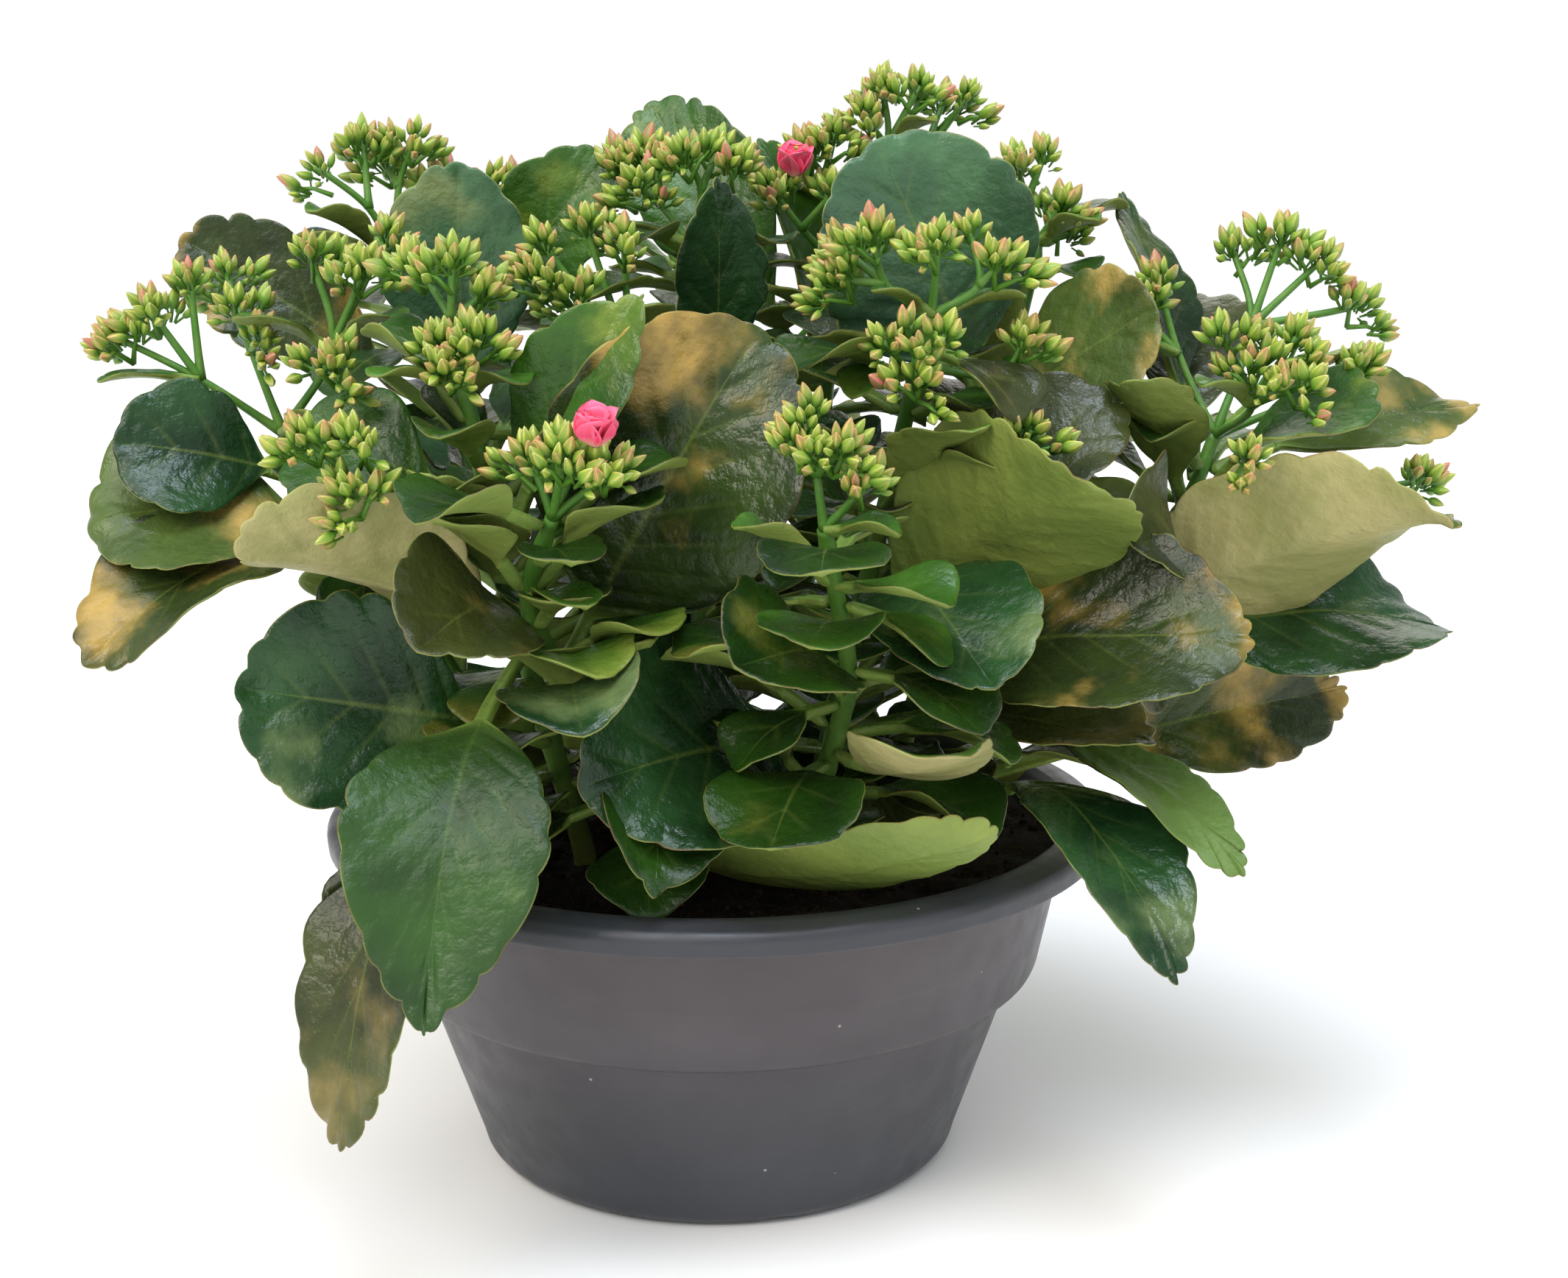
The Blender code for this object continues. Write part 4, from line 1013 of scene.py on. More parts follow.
STEMS = {
    "a": FlowerStem(
        axis=((-50, -5, -4), (-66, -12, 25), (-92, -21, 72), (-112, -26, 104), (-119, -27, 114)),
        stalks=(
            ((-119, -27, 114), (-140, -30, 129), (-163, -30, 141)),
            ((-140, -30, 129), (-153, -32, 149)),
            ((-140, -30, 129), (-143, -24, 156)),
            ((-119, -27, 114), (-127, -24, 136), (-136, -10, 157)),
            ((-127, -24, 136), (-131, -28, 149)),
            ((-127, -24, 136), (-122, -36, 142)),
            ((-119, -27, 114), (-104, -29, 138), (-110, -26, 164)),
            ((-104, -29, 138), (-93, -33, 160)),
            ((-104, -29, 138), (-89, -18, 168)),
            ((-104, -29, 138), (-99, -50, 132), (-98, -63, 137)),
        ),
        bracts=(((-140, -30, 129), (-166, -38, 130), 9), ((-104, -29, 138), (-128, -42, 146), 15),
                ((-104, -29, 138), (-82, -38, 148), 14), ((-119, -27, 114), (-100, -52, 121), 14)),
    ),
    "b": FlowerStem(
        axis=((-36, 36, -4), (-52, 42, 40), (-76, 46, 96), (-93, 48, 138), (-97, 48, 156)),
        stalks=(
            ((-97, 48, 156), (-104, 44, 172), (-118, 40, 184)),
            ((-104, 44, 172), (-106, 50, 192)),
            ((-97, 48, 156), (-96, 52, 178), (-90, 50, 193)),
            ((-96, 52, 178), (-101, 58, 186)),
            ((-97, 48, 156), (-82, 54, 164), (-84, 60, 182)),
            ((-82, 54, 164), (-68, 58, 180)),
            ((-82, 54, 164), (-55, 62, 178)),
        ),
        bracts=(((-97, 48, 156), (-120, 28, 172), 15), ((-97, 48, 156), (-84, 26, 168), 13)),
    ),
    "c": FlowerStem(
        axis=((-38, -34, -4), (-46, -48, 34), (-55, -62, 80), (-61, -69, 118), (-64, -70, 132)),
        stalks=(
            ((-64, -70, 132), (-67, -66, 148), (-77, -58, 163)),
            ((-67, -66, 148), (-66, -68, 164)),
            ((-67, -66, 148), (-57, -60, 156)),
            ((-64, -70, 132), (-70, -80, 144)),
            ((-64, -70, 132), (-58, -80, 146)),
            ((-64, -70, 132), (-67, -86, 138)),
            ((-55, -62, 80), (-78, -80, 98), (-102, -90, 122)),
            ((-78, -80, 98), (-90, -92, 122)),
            ((-78, -80, 98), (-90, -98, 109)),
        ),
        bracts=(((-64, -70, 132), (-86, -84, 136), 13), ((-64, -70, 132), (-46, -84, 134), 14),
                ((-55, -62, 80), (-70, -104, 114), 22)),
    ),
    "d": FlowerStem(
        axis=((-16, -52, -4), (-28, -66, 30), (-42, -78, 62), (-47, -86, 80), (-39, -102, 103)),
        stalks=(
            ((-39, -102, 103), (-44, -106, 119)),
            ((-39, -102, 103), (-35, -113, 121)),
            ((-39, -102, 103), (-22, -108, 117)),
            ((-39, -102, 103), (-31, -98, 121)),
        ),
        bracts=(((-47, -86, 80), (-30, -112, 82), 15), ((-42, -78, 62), (-28, -114, 66), 26)),
    ),
    "e": FlowerStem(
        axis=((-8, 15, -4), (-5, 19, 56), (-2, 20, 116), (-4, 20, 150), (-7, 20, 163)),
        stalks=(
            ((-7, 20, 163), (-16, 24, 174), (-28, 30, 188)),
            ((-16, 24, 174), (-17, 28, 189)),
            ((-16, 24, 174), (-23, 12, 180)),
            ((-7, 20, 163), (-4, 18, 178), (-9, 12, 189)),
            ((-4, 18, 178), (1, 26, 190)),
            ((-7, 20, 163), (8, 18, 186)),
            ((-4, 19, 90), (-24, -8, 132), (-38, -34, 152)),
            ((-24, -8, 132), (-48, -36, 158)),
            ((-24, -8, 132), (-48, -10, 165)),
            ((-24, -8, 132), (-36, -8, 170)),
            ((-24, -8, 132), (-25, -12, 166)),
        ),
        bracts=(((-7, 20, 163), (-30, 14, 168), 9), ((-4, 20, 150), (-36, -12, 150), 20),
                ((-24, -8, 132), (-16, -34, 150), 16)),
    ),
    "f": FlowerStem(
        axis=((22, 46, -4), (27, 50, 50), (33, 52, 110), (39, 52, 152), (41, 52, 168)),
        stalks=(
            ((39, 52, 152), (26, 42, 166), (16, 38, 179)),
            ((26, 42, 166), (36, 36, 178)),
            ((41, 52, 168), (33, 52, 181), (26, 52, 190)),
            ((33, 52, 181), (36, 48, 194)),
            ((41, 52, 168), (52, 56, 190), (51, 62, 208)),
            ((52, 56, 190), (62, 56, 208)),
            ((52, 56, 190), (44, 48, 200)),
            ((41, 52, 168), (64, 62, 188), (77, 60, 205)),
            ((64, 62, 188), (70, 70, 203)),
        ),
        bracts=(((33, 52, 110), (14, 66, 192), 26), ((52, 56, 190), (66, 44, 198), 10),
                ((41, 52, 168), (22, 70, 178), 14)),
    ),
    "g": FlowerStem(
        axis=((28, -6, -4), (37, -18, 44), (47, -30, 92), (55, -44, 134), (58, -50, 148)),
        stalks=(
            ((58, -50, 148), (46, -46, 156), (42, -50, 170)),
            ((46, -46, 156), (31, -44, 157)),
            ((46, -46, 156), (34, -34, 165)),
            ((58, -50, 148), (59, -58, 168)),
            ((58, -50, 148), (70, -52, 156), (68, -46, 170)),
            ((70, -52, 156), (78, -54, 163)),
            ((55, -44, 134), (52, -60, 134), (44, -70, 143)),
            ((52, -60, 134), (60, -70, 145)),
            ((52, -60, 134), (54, -74, 133)),
            ((55, -44, 134), (76, -48, 132), (84, -50, 143)),
            ((47, -30, 92), (72, -52, 102), (84, -62, 119)),
        ),
        bracts=(((58, -50, 148), (42, -62, 156), 10), ((58, -50, 148), (84, -38, 152), 11),
                ((55, -44, 134), (36, -62, 128), 17), ((47, -30, 92), (70, -76, 122), 26)),
    ),
    "h": FlowerStem(
        axis=((20, -46, -4), (29, -62, 24), (35, -80, 56), (31, -95, 84), (28, -103, 100)),
        stalks=(
            ((28, -103, 100), (26, -104, 114), (24, -103, 130)),
            ((26, -104, 114), (19, -110, 123)),
            ((26, -104, 114), (32, -114, 122)),
            ((28, -103, 100), (40, -109, 114)),
        ),
        bracts=(((31, -95, 84), (58, -116, 84), 26), ((31, -95, 84), (6, -106, 102), 22),
                ((28, -103, 100), (46, -112, 100), 13)),
    ),
    "i": FlowerStem(
        axis=((54, 30, -4), (68, 34, 46), (84, 36, 108), (94, 36, 150), (96, 36, 162)),
        stalks=(
            ((96, 36, 162), (93, 38, 174), (90, 42, 186)),
            ((93, 38, 174), (98, 38, 188)),
            ((96, 36, 162), (103, 30, 174)),
            ((96, 36, 162), (108, 36, 165)),
        ),
        bracts=(((84, 36, 108), (67, 6, 172), 30), ((96, 36, 162), (112, 20, 170), 13)),
    ),
    "j": FlowerStem(
        axis=((62, -8, -4), (80, -12, 22), (108, -14, 56), (134, -11, 90), (143, -8, 110)),
        stalks=(
            ((143, -8, 110), (134, 4, 132), (128, 10, 154)),
            ((134, 4, 132), (118, 8, 149)),
            ((143, -8, 110), (155, 6, 140), (151, 18, 162)),
            ((155, 6, 140), (164, 10, 166)),
            ((155, 6, 140), (176, 10, 159)),
            ((155, 6, 140), (178, 6, 144), (189, 10, 146)),
            ((143, -8, 110), (148, -32, 122), (137, -40, 142)),
            ((148, -32, 122), (144, -48, 135)),
            ((148, -32, 122), (158, -38, 141)),
            ((148, -32, 122), (159, -52, 130)),
            ((143, -8, 110), (168, -14, 122), (183, -20, 132)),
            ((134, -11, 90), (140, -40, 100), (142, -60, 112)),
            ((134, -11, 90), (175, -14, 94), (202, -20, 99)),
        ),
        bracts=(((143, -8, 110), (186, -2, 134), 17), ((134, 4, 132), (108, 0, 140), 10),
                ((148, -32, 122), (130, -56, 130), 12), ((134, -11, 90), (112, -46, 130), 26)),
    ),
    "k": FlowerStem(
        axis=((-4, 62, -4), (-4, 80, 40), (-8, 100, 96), (-12, 110, 138), (-13, 112, 150)),
        stalks=(
            ((-13, 112, 150), (-22, 112, 166), (-30, 110, 176)),
            ((-22, 112, 166), (-20, 118, 182)),
            ((-13, 112, 150), (-4, 116, 166), (-8, 108, 184)),
            ((-4, 116, 166), (4, 122, 178)),
            ((-8, 100, 96), (30, 112, 130), (44, 112, 152)),
            ((30, 112, 130), (34, 124, 148)),
            ((30, 112, 130), (56, 122, 144)),
            ((-8, 100, 96), (-46, 104, 128), (-54, 106, 148)),
            ((-46, 104, 128), (-66, 104, 142)),
        ),
        bracts=(((-13, 112, 150), (-38, 118, 158), 15), ((-13, 112, 150), (10, 128, 160), 14),
                ((30, 112, 130), (56, 104, 134), 13), ((-46, 104, 128), (-68, 116, 130), 13)),
    ),
}


@dataclass(frozen=True)
class OpenFlower:
    """A half open double flower: a green tube, an outer and an inner whorl of petals."""

    middle: Array
    seed: int

    LENGTH = 11.0 * MM
    HALF = 5.4 * MM
    SHEET = 0.35 * MM

    def petal(self, turn: float, opening: float, size: float) -> Shell:
        """One petal: a rounded sheet whose half width is sin(pi u^0.7)^0.5 and which leans out
        by the opening as it rises, cupped across.

        Args:
            turn: radians round the flower.
            opening: how far its tip stands out, as a share of its length.
            size: its share of the full size.

        Returns:
            Both faces, which meet at its edge.
        """
        u = np.linspace(0.0, 1.0, 13)[:, None]
        v = np.sin(np.linspace(-np.pi / 2, np.pi / 2, 11))[None]
        half = self.HALF * size * np.sin(np.pi * (0.08 + 0.92 * u) ** 1.15).clip(0.0) ** 0.55
        half = half * ease(u, -0.25, 0.3)
        rise = self.LENGTH * size * (u - 0.25 * opening * u**2)
        reach = self.LENGTH * size * (0.08 + opening * u**1.6) - half * 0.3 * v**2
        ripple = 0.35 * MM * np.sin(3.0 * v + 5.0 * turn) * u**2
        out = np.array([math.cos(turn), math.sin(turn), 0.0])
        side = np.array([-math.sin(turn), math.cos(turn), 0.0])
        flat = (out * (reach + ripple)[..., None] + side * (half * v)[..., None]
                + UP * (rise + 0 * v)[..., None])
        edge = np.sqrt(np.clip((1.0 - v**2) * (1.0 - u**6) * (1.0 - (1.0 - u) ** 8), 0.0, None))
        lay = np.stack(np.broadcast_arrays(u, 0.5 + 0.5 * v), -1)
        faces = [Shell.grid(flat + (out - 0.6 * UP) * (self.SHEET * sign * edge)[..., None], lay,
                            np.zeros_like(lay)) for sign in (-0.5, 0.5)]
        return Shell.joined(faces)

    def build(self, name: str, petal: bpy.types.Material, bud: bpy.types.Material) -> None:
        """Makes the flower in the place of its solid."""
        rng = np.random.default_rng(self.seed)
        shells = []
        for count, opening, size in ((4, 0.44, 1.0), (4, 0.2, 0.92)):
            start = rng.uniform(0.0, 6.3)
            for i in range(count):
                shells.append(self.petal(start + i * 2 * np.pi / count + rng.normal(0, 0.08),
                                         opening * rng.uniform(0.85, 1.15), size))
        tilt = unit(np.array([rng.uniform(-0.2, 0.2), -0.35, 1.0]))
        side = unit(np.cross(tilt, (0.0, 1.0, 0.2)))
        turn = np.stack([side, np.cross(tilt, side), tilt], -1)
        whorls = Shell.joined(shells)
        tube_below = FlowerStem.bud()
        tube_below.finish[:] = 1
        green = tube_below.copies(np.array([[0.0, 0.0, -4.0 * MM]]), np.eye(3)[None],
                                  np.ones((1, 3)), np.array([[0.1, 0.3]]))
        both = Shell.joined([whorls, green])
        both.points = both.points @ turn.T + self.middle - tilt * 7.0 * MM
        made = both.piece(name + "_open", [petal, bud], "petal_pink")
        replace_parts(made, name)


# ---------------------------------------------------------------- bowl and soil


def rounded(outline: Array, radius: float, count: int = 5) -> Array:
    """An outline with each inner corner p replaced by the curve (1-s)^2 a + 2s(1-s) p + s^2 c
    between points a and c on its two sides.

    Args:
        outline: (n, 2).
        radius: how far a and c lie from the corner, up to 0.45 of the side.
        count: points for each corner.

    Returns:
        The rounded outline.
    """
    middle = outline[1:-1]
    sides = []
    for other in (outline[:-2], outline[2:]):
        gap = np.linalg.norm(other - middle, axis=1, keepdims=True)
        sides.append(middle + (other - middle) / gap * np.minimum(radius, 0.45 * gap))
    s = np.linspace(0.0, 1.0, count)[None, :, None]
    before, corner, after = sides[0][:, None], middle[:, None], sides[1][:, None]
    curve = (1 - s) ** 2 * before + 2 * s * (1 - s) * corner + s**2 * after
    return np.vstack([outline[:1], curve.reshape(-1, 2), outline[-1:]])


@dataclass(frozen=True)
class Pot:
    """The moulded bowl. Sizes are those of its solid: see the outline for where each one is."""

    bowl: Bowl
    wall: float = 1.8 * MM
    lip_overhang: float = 10.5 * MM
    lip_drop: float = 8.0 * MM
    lip_crest: float = 4.0 * MM
    skirt_wall: float = 1.6 * MM
    band_height: float = 44.0 * MM
    band_taper: float = 8.5 * MM
    band_step: float = 7.5 * MM
    step_height: float = 5.0 * MM
    body_taper: float = 16.0 * MM
    base_round: float = 8.0 * MM
    floor: float = 3.5 * MM
    groove_width: float = 9.0 * MM
    groove_depth: float = 2.2 * MM
    groove_start: float = 45.0 * MM
    groove_pair: float = 11.0
    groove_turns: tuple[float, ...] = (-65.0, 25.0, 115.0, 205.0)
    mould_lines: tuple[float, ...] = (75.0 * MM, 54.0 * MM, 48.5 * MM, 45.5 * MM)
    turns: int = 200

    def outline(self) -> tuple[Array, Array]:
        """The section from the middle of the floor up the inside, over the lip and down to the
        middle of the underside.

        Returns:
            (radius, height) pairs, and for each the share to which it is on the outside.
        """
        rim, top_z = self.bowl.rim_radius, self.bowl.height
        top = rim - self.lip_overhang
        band = top - self.band_taper
        body = band - self.band_step
        base = body - self.body_taper
        line = top_z - self.band_height
        inner = [(0.0, self.floor), (base - self.wall - 0.45 * self.base_round, self.floor),
                 (base - self.wall, self.floor + 0.6 * self.base_round),
                 (body - self.wall, line - 0.6 * self.step_height),
                 (band - self.wall, line + 0.4 * self.step_height),
                 (top - self.wall, top_z - 0.4 * self.lip_drop)]
        skirt = rim - 0.4 * MM - self.skirt_wall
        outer = [(top - self.wall + 0.5 * self.lip_crest, top_z - 0.05 * self.lip_drop),
                 (top + self.lip_crest, top_z), (rim - 1.3 * MM, top_z - 0.16 * self.lip_drop),
                 (rim, top_z - 0.42 * self.lip_drop), (rim - 0.4 * MM, top_z - self.lip_drop),
                 (skirt, top_z - self.lip_drop), (skirt, top_z - 0.46 * self.lip_drop),
                 (top, top_z - 0.42 * self.lip_drop), (band, line),
                 (band - 0.15 * self.band_step, line - 0.5 * self.step_height),
                 (band - 0.5 * self.band_step, line - 0.85 * self.step_height),
                 (body, line - self.step_height), (base, self.base_round),
                 (base - 0.15 * self.base_round, 0.45 * self.base_round),
                 (base - 0.42 * self.base_round, 0.14 * self.base_round),
                 (base - 0.8 * self.base_round, 0.0), (0.0, 0.0)]
        inside = rounded(np.array(inner + outer[:1]), 2.5 * MM)
        outside = rounded(np.array(outer), 1.1 * MM)
        points = np.vstack([inside[:-1], outside])
        out = np.concatenate([np.zeros(len(inside) - 1), np.ones(len(outside))])
        gaps = np.linalg.norm(np.diff(points, axis=0), axis=1)
        pitch = np.where(out[1:] > 0, 0.9 * MM, 6.0 * MM)
        knots = np.concatenate([[0], np.cumsum(np.maximum(1, np.ceil(gaps / pitch)))])
        steps = np.arange(knots[-1] + 1)
        fine = np.stack([np.interp(steps, knots, points[:, i]) for i in (0, 1)], -1)
        return fine, np.interp(steps, knots, out)

    def build(self, finish: bpy.types.Material) -> bpy.types.Object:
        """Turns the outline round the axis. Mould lines stand out by a bell curve of the
        height, the wall is uneven by a tenth of a millimetre, and the underside is lifted
        along each drain groove."""
        outline, out = self.outline()
        turn = np.linspace(0.0, 2.0 * np.pi, self.turns, endpoint=False)[:, None]
        radius, height = outline[None, :, 0], outline[None, :, 1]
        lines = sum(np.exp(-(((height - z) / (0.55 * MM)) ** 2)) for z in self.mould_lines)
        wall = np.stack(np.broadcast_arrays(np.cos(turn) * 40 * MM, np.sin(turn) * 40 * MM,
                                            height * 0.6), -1)
        uneven = 0.07 * MM * value_noise(wall, 14 * MM, 5) * ease(height, 4 * MM, 12 * MM)
        lines = lines * ease(value_noise(wall * (1.0, 1.0, 4.0), 26 * MM, 8), -0.5, 0.3)
        radius = radius + out * (0.16 * MM * lines * (radius > 60 * MM) + uneven)
        radius = np.where(outline[None, :, 0] < 1e-9, 0.0, radius)
        height = np.broadcast_to(height, radius.shape)
        lift = np.zeros_like(radius)
        for middle in self.groove_turns:
            for side in (-self.groove_pair, self.groove_pair):
                angle = turn - math.radians(middle + side)
                across, ahead = radius * np.sin(angle), radius * np.cos(angle)
                inside = 1.0 - ease(np.abs(across), 0.4 * self.groove_width,
                                    0.5 * self.groove_width)
                lift = np.maximum(lift, inside * ease(ahead, self.groove_start,
                                                      self.groove_start + 2 * MM))
        height = np.where(out > 0.5, np.maximum(height, lift * self.groove_depth), height)
        points = np.stack([np.cos(turn) * radius, np.sin(turn) * radius, height], -1)
        lay = np.zeros((*radius.shape, 2))
        made = Shell.grid(points, lay, lay, around=True).piece("bowl", [finish], "pot_plastic")
        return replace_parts(made, "pot")


@dataclass(frozen=True)
class Soil:
    """The peat in the bowl, with loose crumbs on it."""

    bowl: Bowl
    crumbs: int = 620
    seed: int = 11

    def height_at(self, x: Array, y: Array, edge: float, low: float, high: float) -> Array:
        """The surface: a mound that falls as the square of the radius, with noise of 15, 5 and
        2 mm grain."""
        share = np.hypot(x, y) / edge
        flat = np.stack([x, y, np.zeros_like(x)], -1)
        rough = (2.0 * value_noise(flat, 15 * MM, 21) + 1.1 * value_noise(flat, 5 * MM, 22)
                 + 0.7 * value_noise(flat, 2.1 * MM, 23)) * MM
        return high - (high - low) * share**2 + rough * (1.0 - 0.5 * ease(share, 0.9, 1.0))

    def build(self, finish: bpy.types.Material) -> bpy.types.Object:
        """Makes the soil in the place of its solid."""
        low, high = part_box("soil")
        edge, foot = high.x, low.z
        rim_z = self.bowl.height - 10 * MM
        turn = np.linspace(0.0, 2.0 * np.pi, 190, endpoint=False)[:, None]
        radius = np.concatenate([np.linspace(0.0, 1.0, 80), [1.0, 0.82, 0.62, 0.0]]) * edge
        x, y = np.cos(turn) * radius, np.sin(turn) * radius
        z = self.height_at(x, y, edge, rim_z, high.z)
        z[:, 80:] = [rim_z - 4 * MM, 0.5 * rim_z, foot, foot]
        points = np.stack([x, y, z], -1)
        lay = np.zeros((*x.shape, 2))
        ground = Shell.grid(points, lay, lay, around=True)
        rng = np.random.default_rng(self.seed)
        far = edge * np.sqrt(rng.uniform(0.0, 0.96, self.crumbs))
        way = rng.uniform(0.0, 2 * np.pi, self.crumbs)
        cx, cy = far * np.cos(way), far * np.sin(way)
        spots = np.stack([cx, cy, self.height_at(cx, cy, edge, rim_z, high.z) + 0.3 * MM], -1)
        crumb = tube(np.array([[0, 0, -0.8], [0.1, 0, -0.3], [0, 0.1, 0.35], [0, 0, 0.8]]),
                     np.array([0.45, 1.0, 0.85, 0.3]), 6)
        aim = unit(rng.normal(size=(self.crumbs, 3)))
        first = unit(np.cross(aim, rng.normal(size=(self.crumbs, 3))))
        turns = np.stack([first, np.cross(aim, first), aim], -1)
        sizes = rng.uniform(0.5, 1.7, (self.crumbs, 1)) * rng.uniform(0.5, 1.2, (self.crumbs, 3))
        loose = crumb.copies(spots, turns, sizes * MM, np.zeros((self.crumbs, 2)))
        made = Shell.joined([ground, loose]).piece("peat", [finish], "peat")
        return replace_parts(made, "soil")


# ---------------------------------------------------------------- foliage

# The finish of each of the frame's leaves. The gold patched finishes put painted highlights on their
# leaves, and the lighter grey green one a painted reflection.
LEAF_TONES = {
    Tone.BLUE: "c4 g3 d2 j2 j5 a3 e1 g4".split(),
    Tone.PALE: "i1 b1".split(),
    Tone.SATIN: "c2 j4".split(),
    Tone.DULL: "d1".split(),
    Tone.GOLD_HIGHLIGHT_TIP: "c1".split(),
    Tone.GOLD_HIGHLIGHT: "a1 g2 j3 b2".split(),
    Tone.PALE_GOLD_HIGHLIGHT: "a2 i2 j7".split(),
    Tone.FRESH: "c6 c7 b3 f1 j6".split(),
    Tone.OLIVE: "c8 j8 c3 g5 g6 j10 k2 b5".split(),
    Tone.CREAM: "c5 j1 h2".split(),
}
FORMS = {
    "a1": Outline(belly=1.15, point=0.62, wave=1.4),
    "a2": Outline(belly=1.2, point=0.55, wave=1.3),
    "c1": Outline(belly=1.15, point=0.46, wave=0.7),
    "c2": Outline(belly=0.9, point=0.85, wave=1.5, twist=-0.9, neck=0.3),
    "c3": Outline(belly=1.4, point=0.6, wave=1.2),
    "c4": Outline(belly=1.3, point=0.5, wave=1.2),
    "c5": Outline(belly=1.0, point=0.6, wave=2.6, curl=-0.1, twist=0.5, neck=0.12),
    "d1": Outline(belly=0.95, point=0.46, wave=0.8, neck=0.1),
    "c6": Outline(belly=0.95, point=0.8, wide=0.85, wave=0.8, twist=0.3),
    "d3": Outline(belly=1.0, point=0.75, wave=1.3),
    "e1": Outline(belly=1.1, point=0.6, wide=0.8, twist=0.6),
    "g1": Outline(belly=1.15, point=0.4, wave=1.6, neck=0.12),
    "g2": Outline(belly=1.15, point=0.62, wave=1.2, twist=0.3),
    "g3": Outline(belly=1.2, point=0.55, wave=1.3, twist=-0.3),
    "h1": Outline(belly=1.2, point=0.5, wide=0.9, wave=1.3),
    "h2": Outline(belly=0.95, point=0.8, wide=0.72, wave=1.6, twist=0.5),
    "i1": Outline(belly=1.2, point=0.44, wave=0.8),
    "j1": Outline(belly=0.9, point=0.7, wave=1.8, twist=0.4, neck=0.08),
    "j2": Outline(belly=1.2, point=0.55, wave=1.6, twist=-0.4),
    "j3": Outline(belly=1.2, point=0.66, wide=0.9, wave=1.4, twist=0.3),
    "j4": Outline(belly=1.0, point=0.8, wide=0.66, wave=1.2, twist=0.5),
    "j5": Outline(belly=1.2, point=0.72, wide=0.95, wave=1.1),
    "j7": Outline(belly=1.0, point=0.75, wide=0.8, wave=1.4),
    "j8": Outline(belly=1.2, point=0.5, wave=2.2, curl=0.16, twist=-0.5),
    "j9": Outline(belly=1.1, point=0.7, twist=-0.3),
}


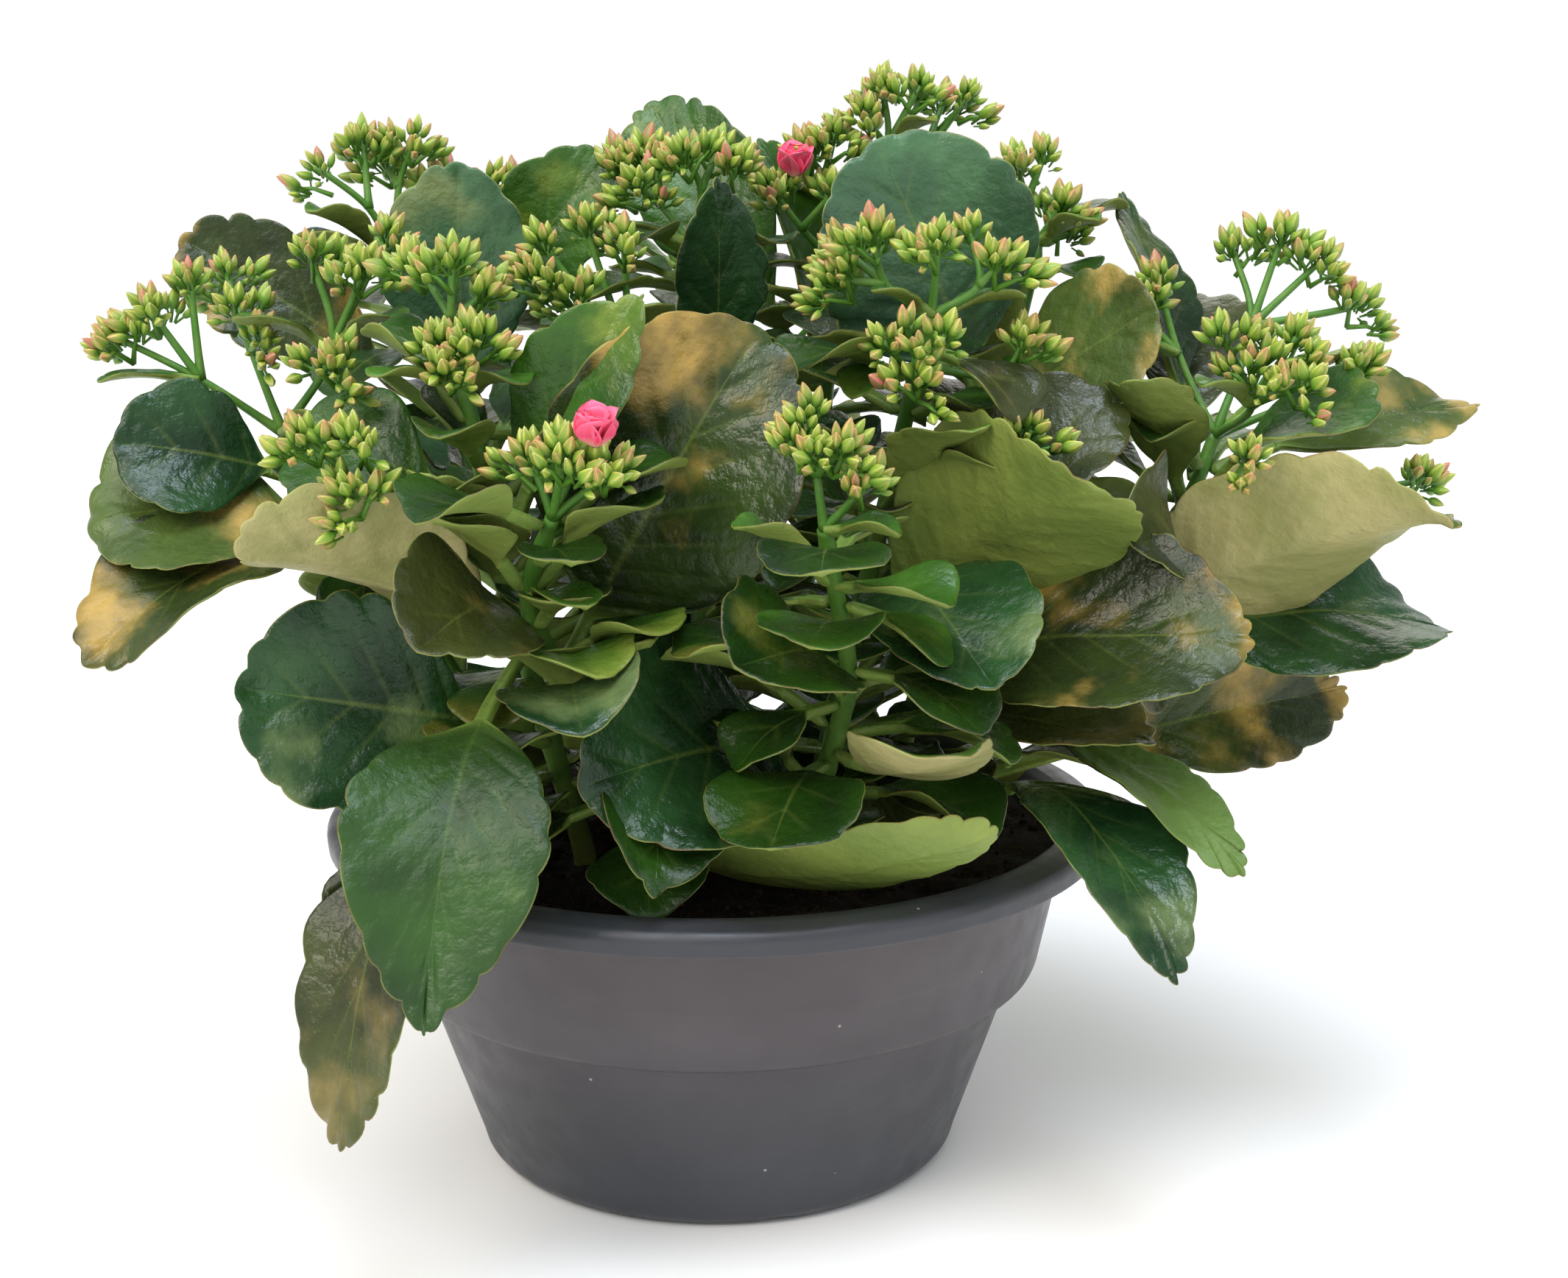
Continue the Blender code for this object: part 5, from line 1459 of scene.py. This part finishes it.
@dataclass(frozen=True)
class Foliage:
    """All the grown leaves: those of the frame, and the inner leaves that fill the plant
    between its stems."""

    bowl: Bowl
    finishes: dict[Tone, bpy.types.Material]

    SPACING = 10.0  # millimetres between pairs of inner leaves up a stem
    LIMIT = 1.01  # how far an inner leaf may reach, as a share of the frame's box
    SIZES = (1.0, 0.84, 0.7, 0.56, 0.42)  # shares of its length that a leaf tries
    # (swing, rise) in degrees that a spreading leaf tries in turn, and that a hanging one does
    SPREADING = ((0, 8), (0, -8), (0, 24), (24, 10), (-24, 10), (0, 42), (45, 20), (-45, 20),
                 (20, -14), (-20, -14), (32, 40), (-32, 40), (0, 62))
    HANGING = ((0, -44), (14, -56), (-14, -56), (0, -28), (26, -36), (-26, -36), (0, -8),
               (40, -20), (-40, -20), (0, 24), (30, 36), (-30, 36))
    SHADES = (Tone.DEEP, Tone.DEEP, Tone.FRESH, Tone.DEEP, Tone.BLUE, Tone.OLIVE, Tone.DEEP)

    def grown(self) -> None:
        """Makes a piece for each leaf of the frame."""
        tones = {f"leaf_{name}": tone for tone, names in LEAF_TONES.items() for name in names}
        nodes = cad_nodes("leaf_")
        for seed, (name, node) in enumerate(nodes):
            own = name.removeprefix("leaf_")
            blade = Blade.from_node(node, seed + 1, FORMS.get(own, Outline()))
            shell = blade.shell()
            finish = self.finishes[tones.get(name, Tone.DEEP)]
            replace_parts(shell.piece(f"{name}_blade", [finish], "leaf_green"), name)

    def inner(self) -> None:
        """Makes the inner leaves: opposite pairs up each stem, each pair a quarter turn from
        the last, and every third pair hanging. A leaf that would cross a solid or an earlier
        inner leaf turns, shortens or is left out."""
        trees = {name: node_tree(node) for name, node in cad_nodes("")}
        low, high = (np.array(corner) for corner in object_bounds())
        palette = list(dict.fromkeys(self.SHADES))
        rng = np.random.default_rng(3)
        for number, (letter, stem) in enumerate(STEMS.items()):
            line = stem.line(self.bowl)
            heights = np.arange(10.0, (line[-1, 2] - self.bowl.height) / MM - 2.0, self.SPACING)
            own = f"flower_stem_{letter}"
            shells = []
            for level, height in enumerate(heights):
                at = np.array([np.interp(self.bowl.height + height * MM, line[:, 2], line[:, i])
                               for i in range(3)])
                ways = self.HANGING if level % 3 == 1 else self.SPREADING
                for side in (0, 1):
                    azimuth = 37.0 * number + 90.0 * level + 180.0 * side + rng.uniform(-12, 12)
                    full = rng.uniform(38.0, 66.0) * (1.0 - 0.35 * level / len(heights))
                    shade = palette.index(self.SHADES[rng.integers(len(self.SHADES))])
                    found = self.fitted(at, azimuth, full, ways, trees, own, low, high,
                                        100 * number + 10 * level + side, shade)
                    if found is not None:
                        shells.append(found)
                        trees[f"{letter}{level}{side}"] = found.tree()
            if shells:
                Shell.joined(shells).piece(f"inner_leaves_{letter}",
                                           [self.finishes[tone] for tone in palette],
                                           "leaf_green")

    def fitted(self, at: Array, azimuth: float, full: float, ways: tuple,
               trees: dict[str, BVHTree], own: str, low: Array, high: Array, seed: int,
               shade: int) -> Shell | None:
        """The first of a row of tries that is clear of the frame's solids, other than its own
        stem, and of the inner leaves made before it.

        Args:
            at: the point of the stem's axis that it grows from.
            azimuth: its direction in degrees.
            full: its length in millimetres.
            ways: the (swing, rise) pairs that it tries in turn.
            trees: what it may not cross.
            own: its stem, which it may.
            low: the lowest corner it may reach.
            high: the highest.
            seed: varies its outline.
            shade: which of the piece's finishes it takes.

        Returns:
            The leaf, or None where there is no room.
        """
        for size in self.SIZES:
            for swing, rise in ways:
                length = full * size * MM
                ahead = direction(azimuth + swing, rise)
                tip = at + ahead * length
                if np.any(tip < low * self.LIMIT) or np.any(tip > high * self.LIMIT):
                    continue
                upper = unit(UP + ahead * 0.25)
                blade = Blade(at + ahead * 2.0 * MM, tip, upper, 0.7 * length, 0.1 * length,
                              0.18, seed, petiole=0.3, thickness=1.4 * MM)
                shell = blade.shell(2.4 * MM, 8, shade)
                tree = shell.tree()
                if not any(tree.overlap(other) for name, other in trees.items() if name != own):
                    return shell
        return None


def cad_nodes(start: str) -> list[tuple[str, bpy.types.Object]]:
    """The frame's nodes whose names begin so, by name."""
    return sorted((name, node) for name, node in FRAME["nodes"].items() if name.startswith(start))


def node_tree(node: bpy.types.Object) -> BVHTree:
    """A frame node's surface as a tree for overlap tests."""
    mesh = node.data
    return BVHTree.FromPolygons([v.co[:] for v in mesh.vertices],
                                [tuple(p.vertices) for p in mesh.polygons])


# ---------------------------------------------------------------- studio


@dataclass(frozen=True)
class Softbox:
    """A large area light that looks at the middle of the plant."""

    name: str
    place: tuple[float, float, float]
    size: float
    power: float
    colour: str

    def build(self, target: Array) -> None:
        """Makes the light and turns it to the target."""
        light = bpy.data.lights.new(self.name, "AREA")
        light.size, light.energy, light.color = self.size, self.power, linear(self.colour)[:3]
        made = bpy.data.objects.new(self.name, light)
        made.location = self.place
        gaze = target - np.array(self.place)
        made.rotation_euler = (math.atan2(math.hypot(gaze[0], gaze[1]), -gaze[2]), 0.0,
                               math.atan2(gaze[1], gaze[0]) - math.pi / 2)
        bpy.context.scene.collection.objects.link(made)


@dataclass(frozen=True)
class Studio:
    """A pale floor, a bright room and soft light, with the camera a little above the rim."""

    camera: tuple[float, float, float] = (0.008, -0.676, 0.306)
    yaw: float = 1.0
    pitch: float = -12.75
    lens: float = 54.08
    lights: tuple[Softbox, ...] = (
        Softbox("key", (-0.9, -1.0, 1.25), 0.7, 10.0, "#fff0dc"),
        Softbox("sky", (0.15, -0.45, 1.6), 0.6, 10.0, "#d8e8ff"),
        Softbox("fill", (1.3, -0.8, 0.8), 1.0, 2.5, "#f3f6ff"),
        Softbox("back", (0.5, 1.3, 1.1), 1.0, 5.0, "#fff6ea"),
    )
    day_strength: float = 2.3
    day_spread: float = 70.0

    def build(self) -> None:
        """Makes the camera, the floor, the lights and the world."""
        scene = bpy.context.scene
        scene.view_settings.view_transform = "Standard"
        lens = bpy.data.cameras.new("camera")
        lens.lens, lens.sensor_width, lens.clip_start = self.lens, 36.0, 0.01
        camera = bpy.data.objects.new("camera", lens)
        camera.location = self.camera
        camera.rotation_euler = (math.radians(90.0 + self.pitch), 0.0, -math.radians(self.yaw))
        scene.collection.objects.link(camera)
        scene.camera = camera
        x, y = np.meshgrid(np.linspace(-6.0, 6.0, 25), np.linspace(-6.0, 6.0, 25), indexing="ij")
        flat = np.zeros((*x.shape, 2))
        sheet = Shell.grid(np.stack([x, y, np.zeros_like(x)], -1), flat, flat)
        mesh = bpy.data.meshes.new("floor")
        mesh.from_pydata(sheet.points.tolist(), [], sheet.faces.tolist())
        mesh.materials.append(StudioPaper().build())
        floor = bpy.data.objects.new("floor", mesh)
        scene.collection.objects.link(floor)
        floor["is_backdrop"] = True
        for softbox in self.lights:
            softbox.build(np.array([0.0, 0.0, 0.18]))
        day = bpy.data.lights.new("day", "SUN")
        day.energy, day.angle = self.day_strength, math.radians(self.day_spread)
        lamp = bpy.data.objects.new("day", day)
        lamp.rotation_euler = (math.radians(24.0), math.radians(-16.0), 0.0)
        scene.collection.objects.link(lamp)
        world = bpy.data.worlds.new("room")
        world.use_nodes = True
        tree = world.node_tree
        height = add(tree, "SeparateXYZ", {0: add(tree, "TexCoord").outputs["Generated"]})
        dome = add(tree, "ValToRGB", {"Fac": height.outputs[2]},
                   [(0.12, "#ffffff"), (0.6, "#a2a9b1")])
        tree.links.new(dome.outputs[0], tree.nodes["Background"].inputs[0])
        tree.nodes["Background"].inputs[1].default_value = 1.0
        scene.world = world


def corners(box: Iterable[Iterable[float]]) -> list[list[float]]:
    """A box's two corners as plain lists."""
    return [[float(value) for value in corner] for corner in box]


def main() -> None:
    """Builds every piece in order."""
    logging.basicConfig(level=logging.INFO, format="%(name)s %(message)s")
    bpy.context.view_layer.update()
    Studio().build()
    bowl = Bowl.from_frame()
    Pot(bowl).build(MouldedPot().build())
    Soil(bowl).build(PeatMix().build())
    tones = {tone: tone.value.build() for tone in Tone}
    foliage = Foliage(bowl, tones)
    foliage.inner()
    foliage.grown()
    stem, bud = StemTissue().build(), BudTissue().build()
    for number, (letter, rows) in enumerate(STEMS.items()):
        rows.build(letter, bowl, 50 + 10 * number, stem, tones[Tone.YOUNG], bud)
    petal = PetalTissue().build()
    for number, name in enumerate(("flower_front", "flower_back")):
        low, high = (np.array(corner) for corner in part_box(name))
        OpenFlower((low + high) / 2, 5 + number).build(name, petal, bud)


for old in list(bpy.data.objects):
    bpy.data.objects.remove(old)
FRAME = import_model()

if __name__ == "__main__":
    main()
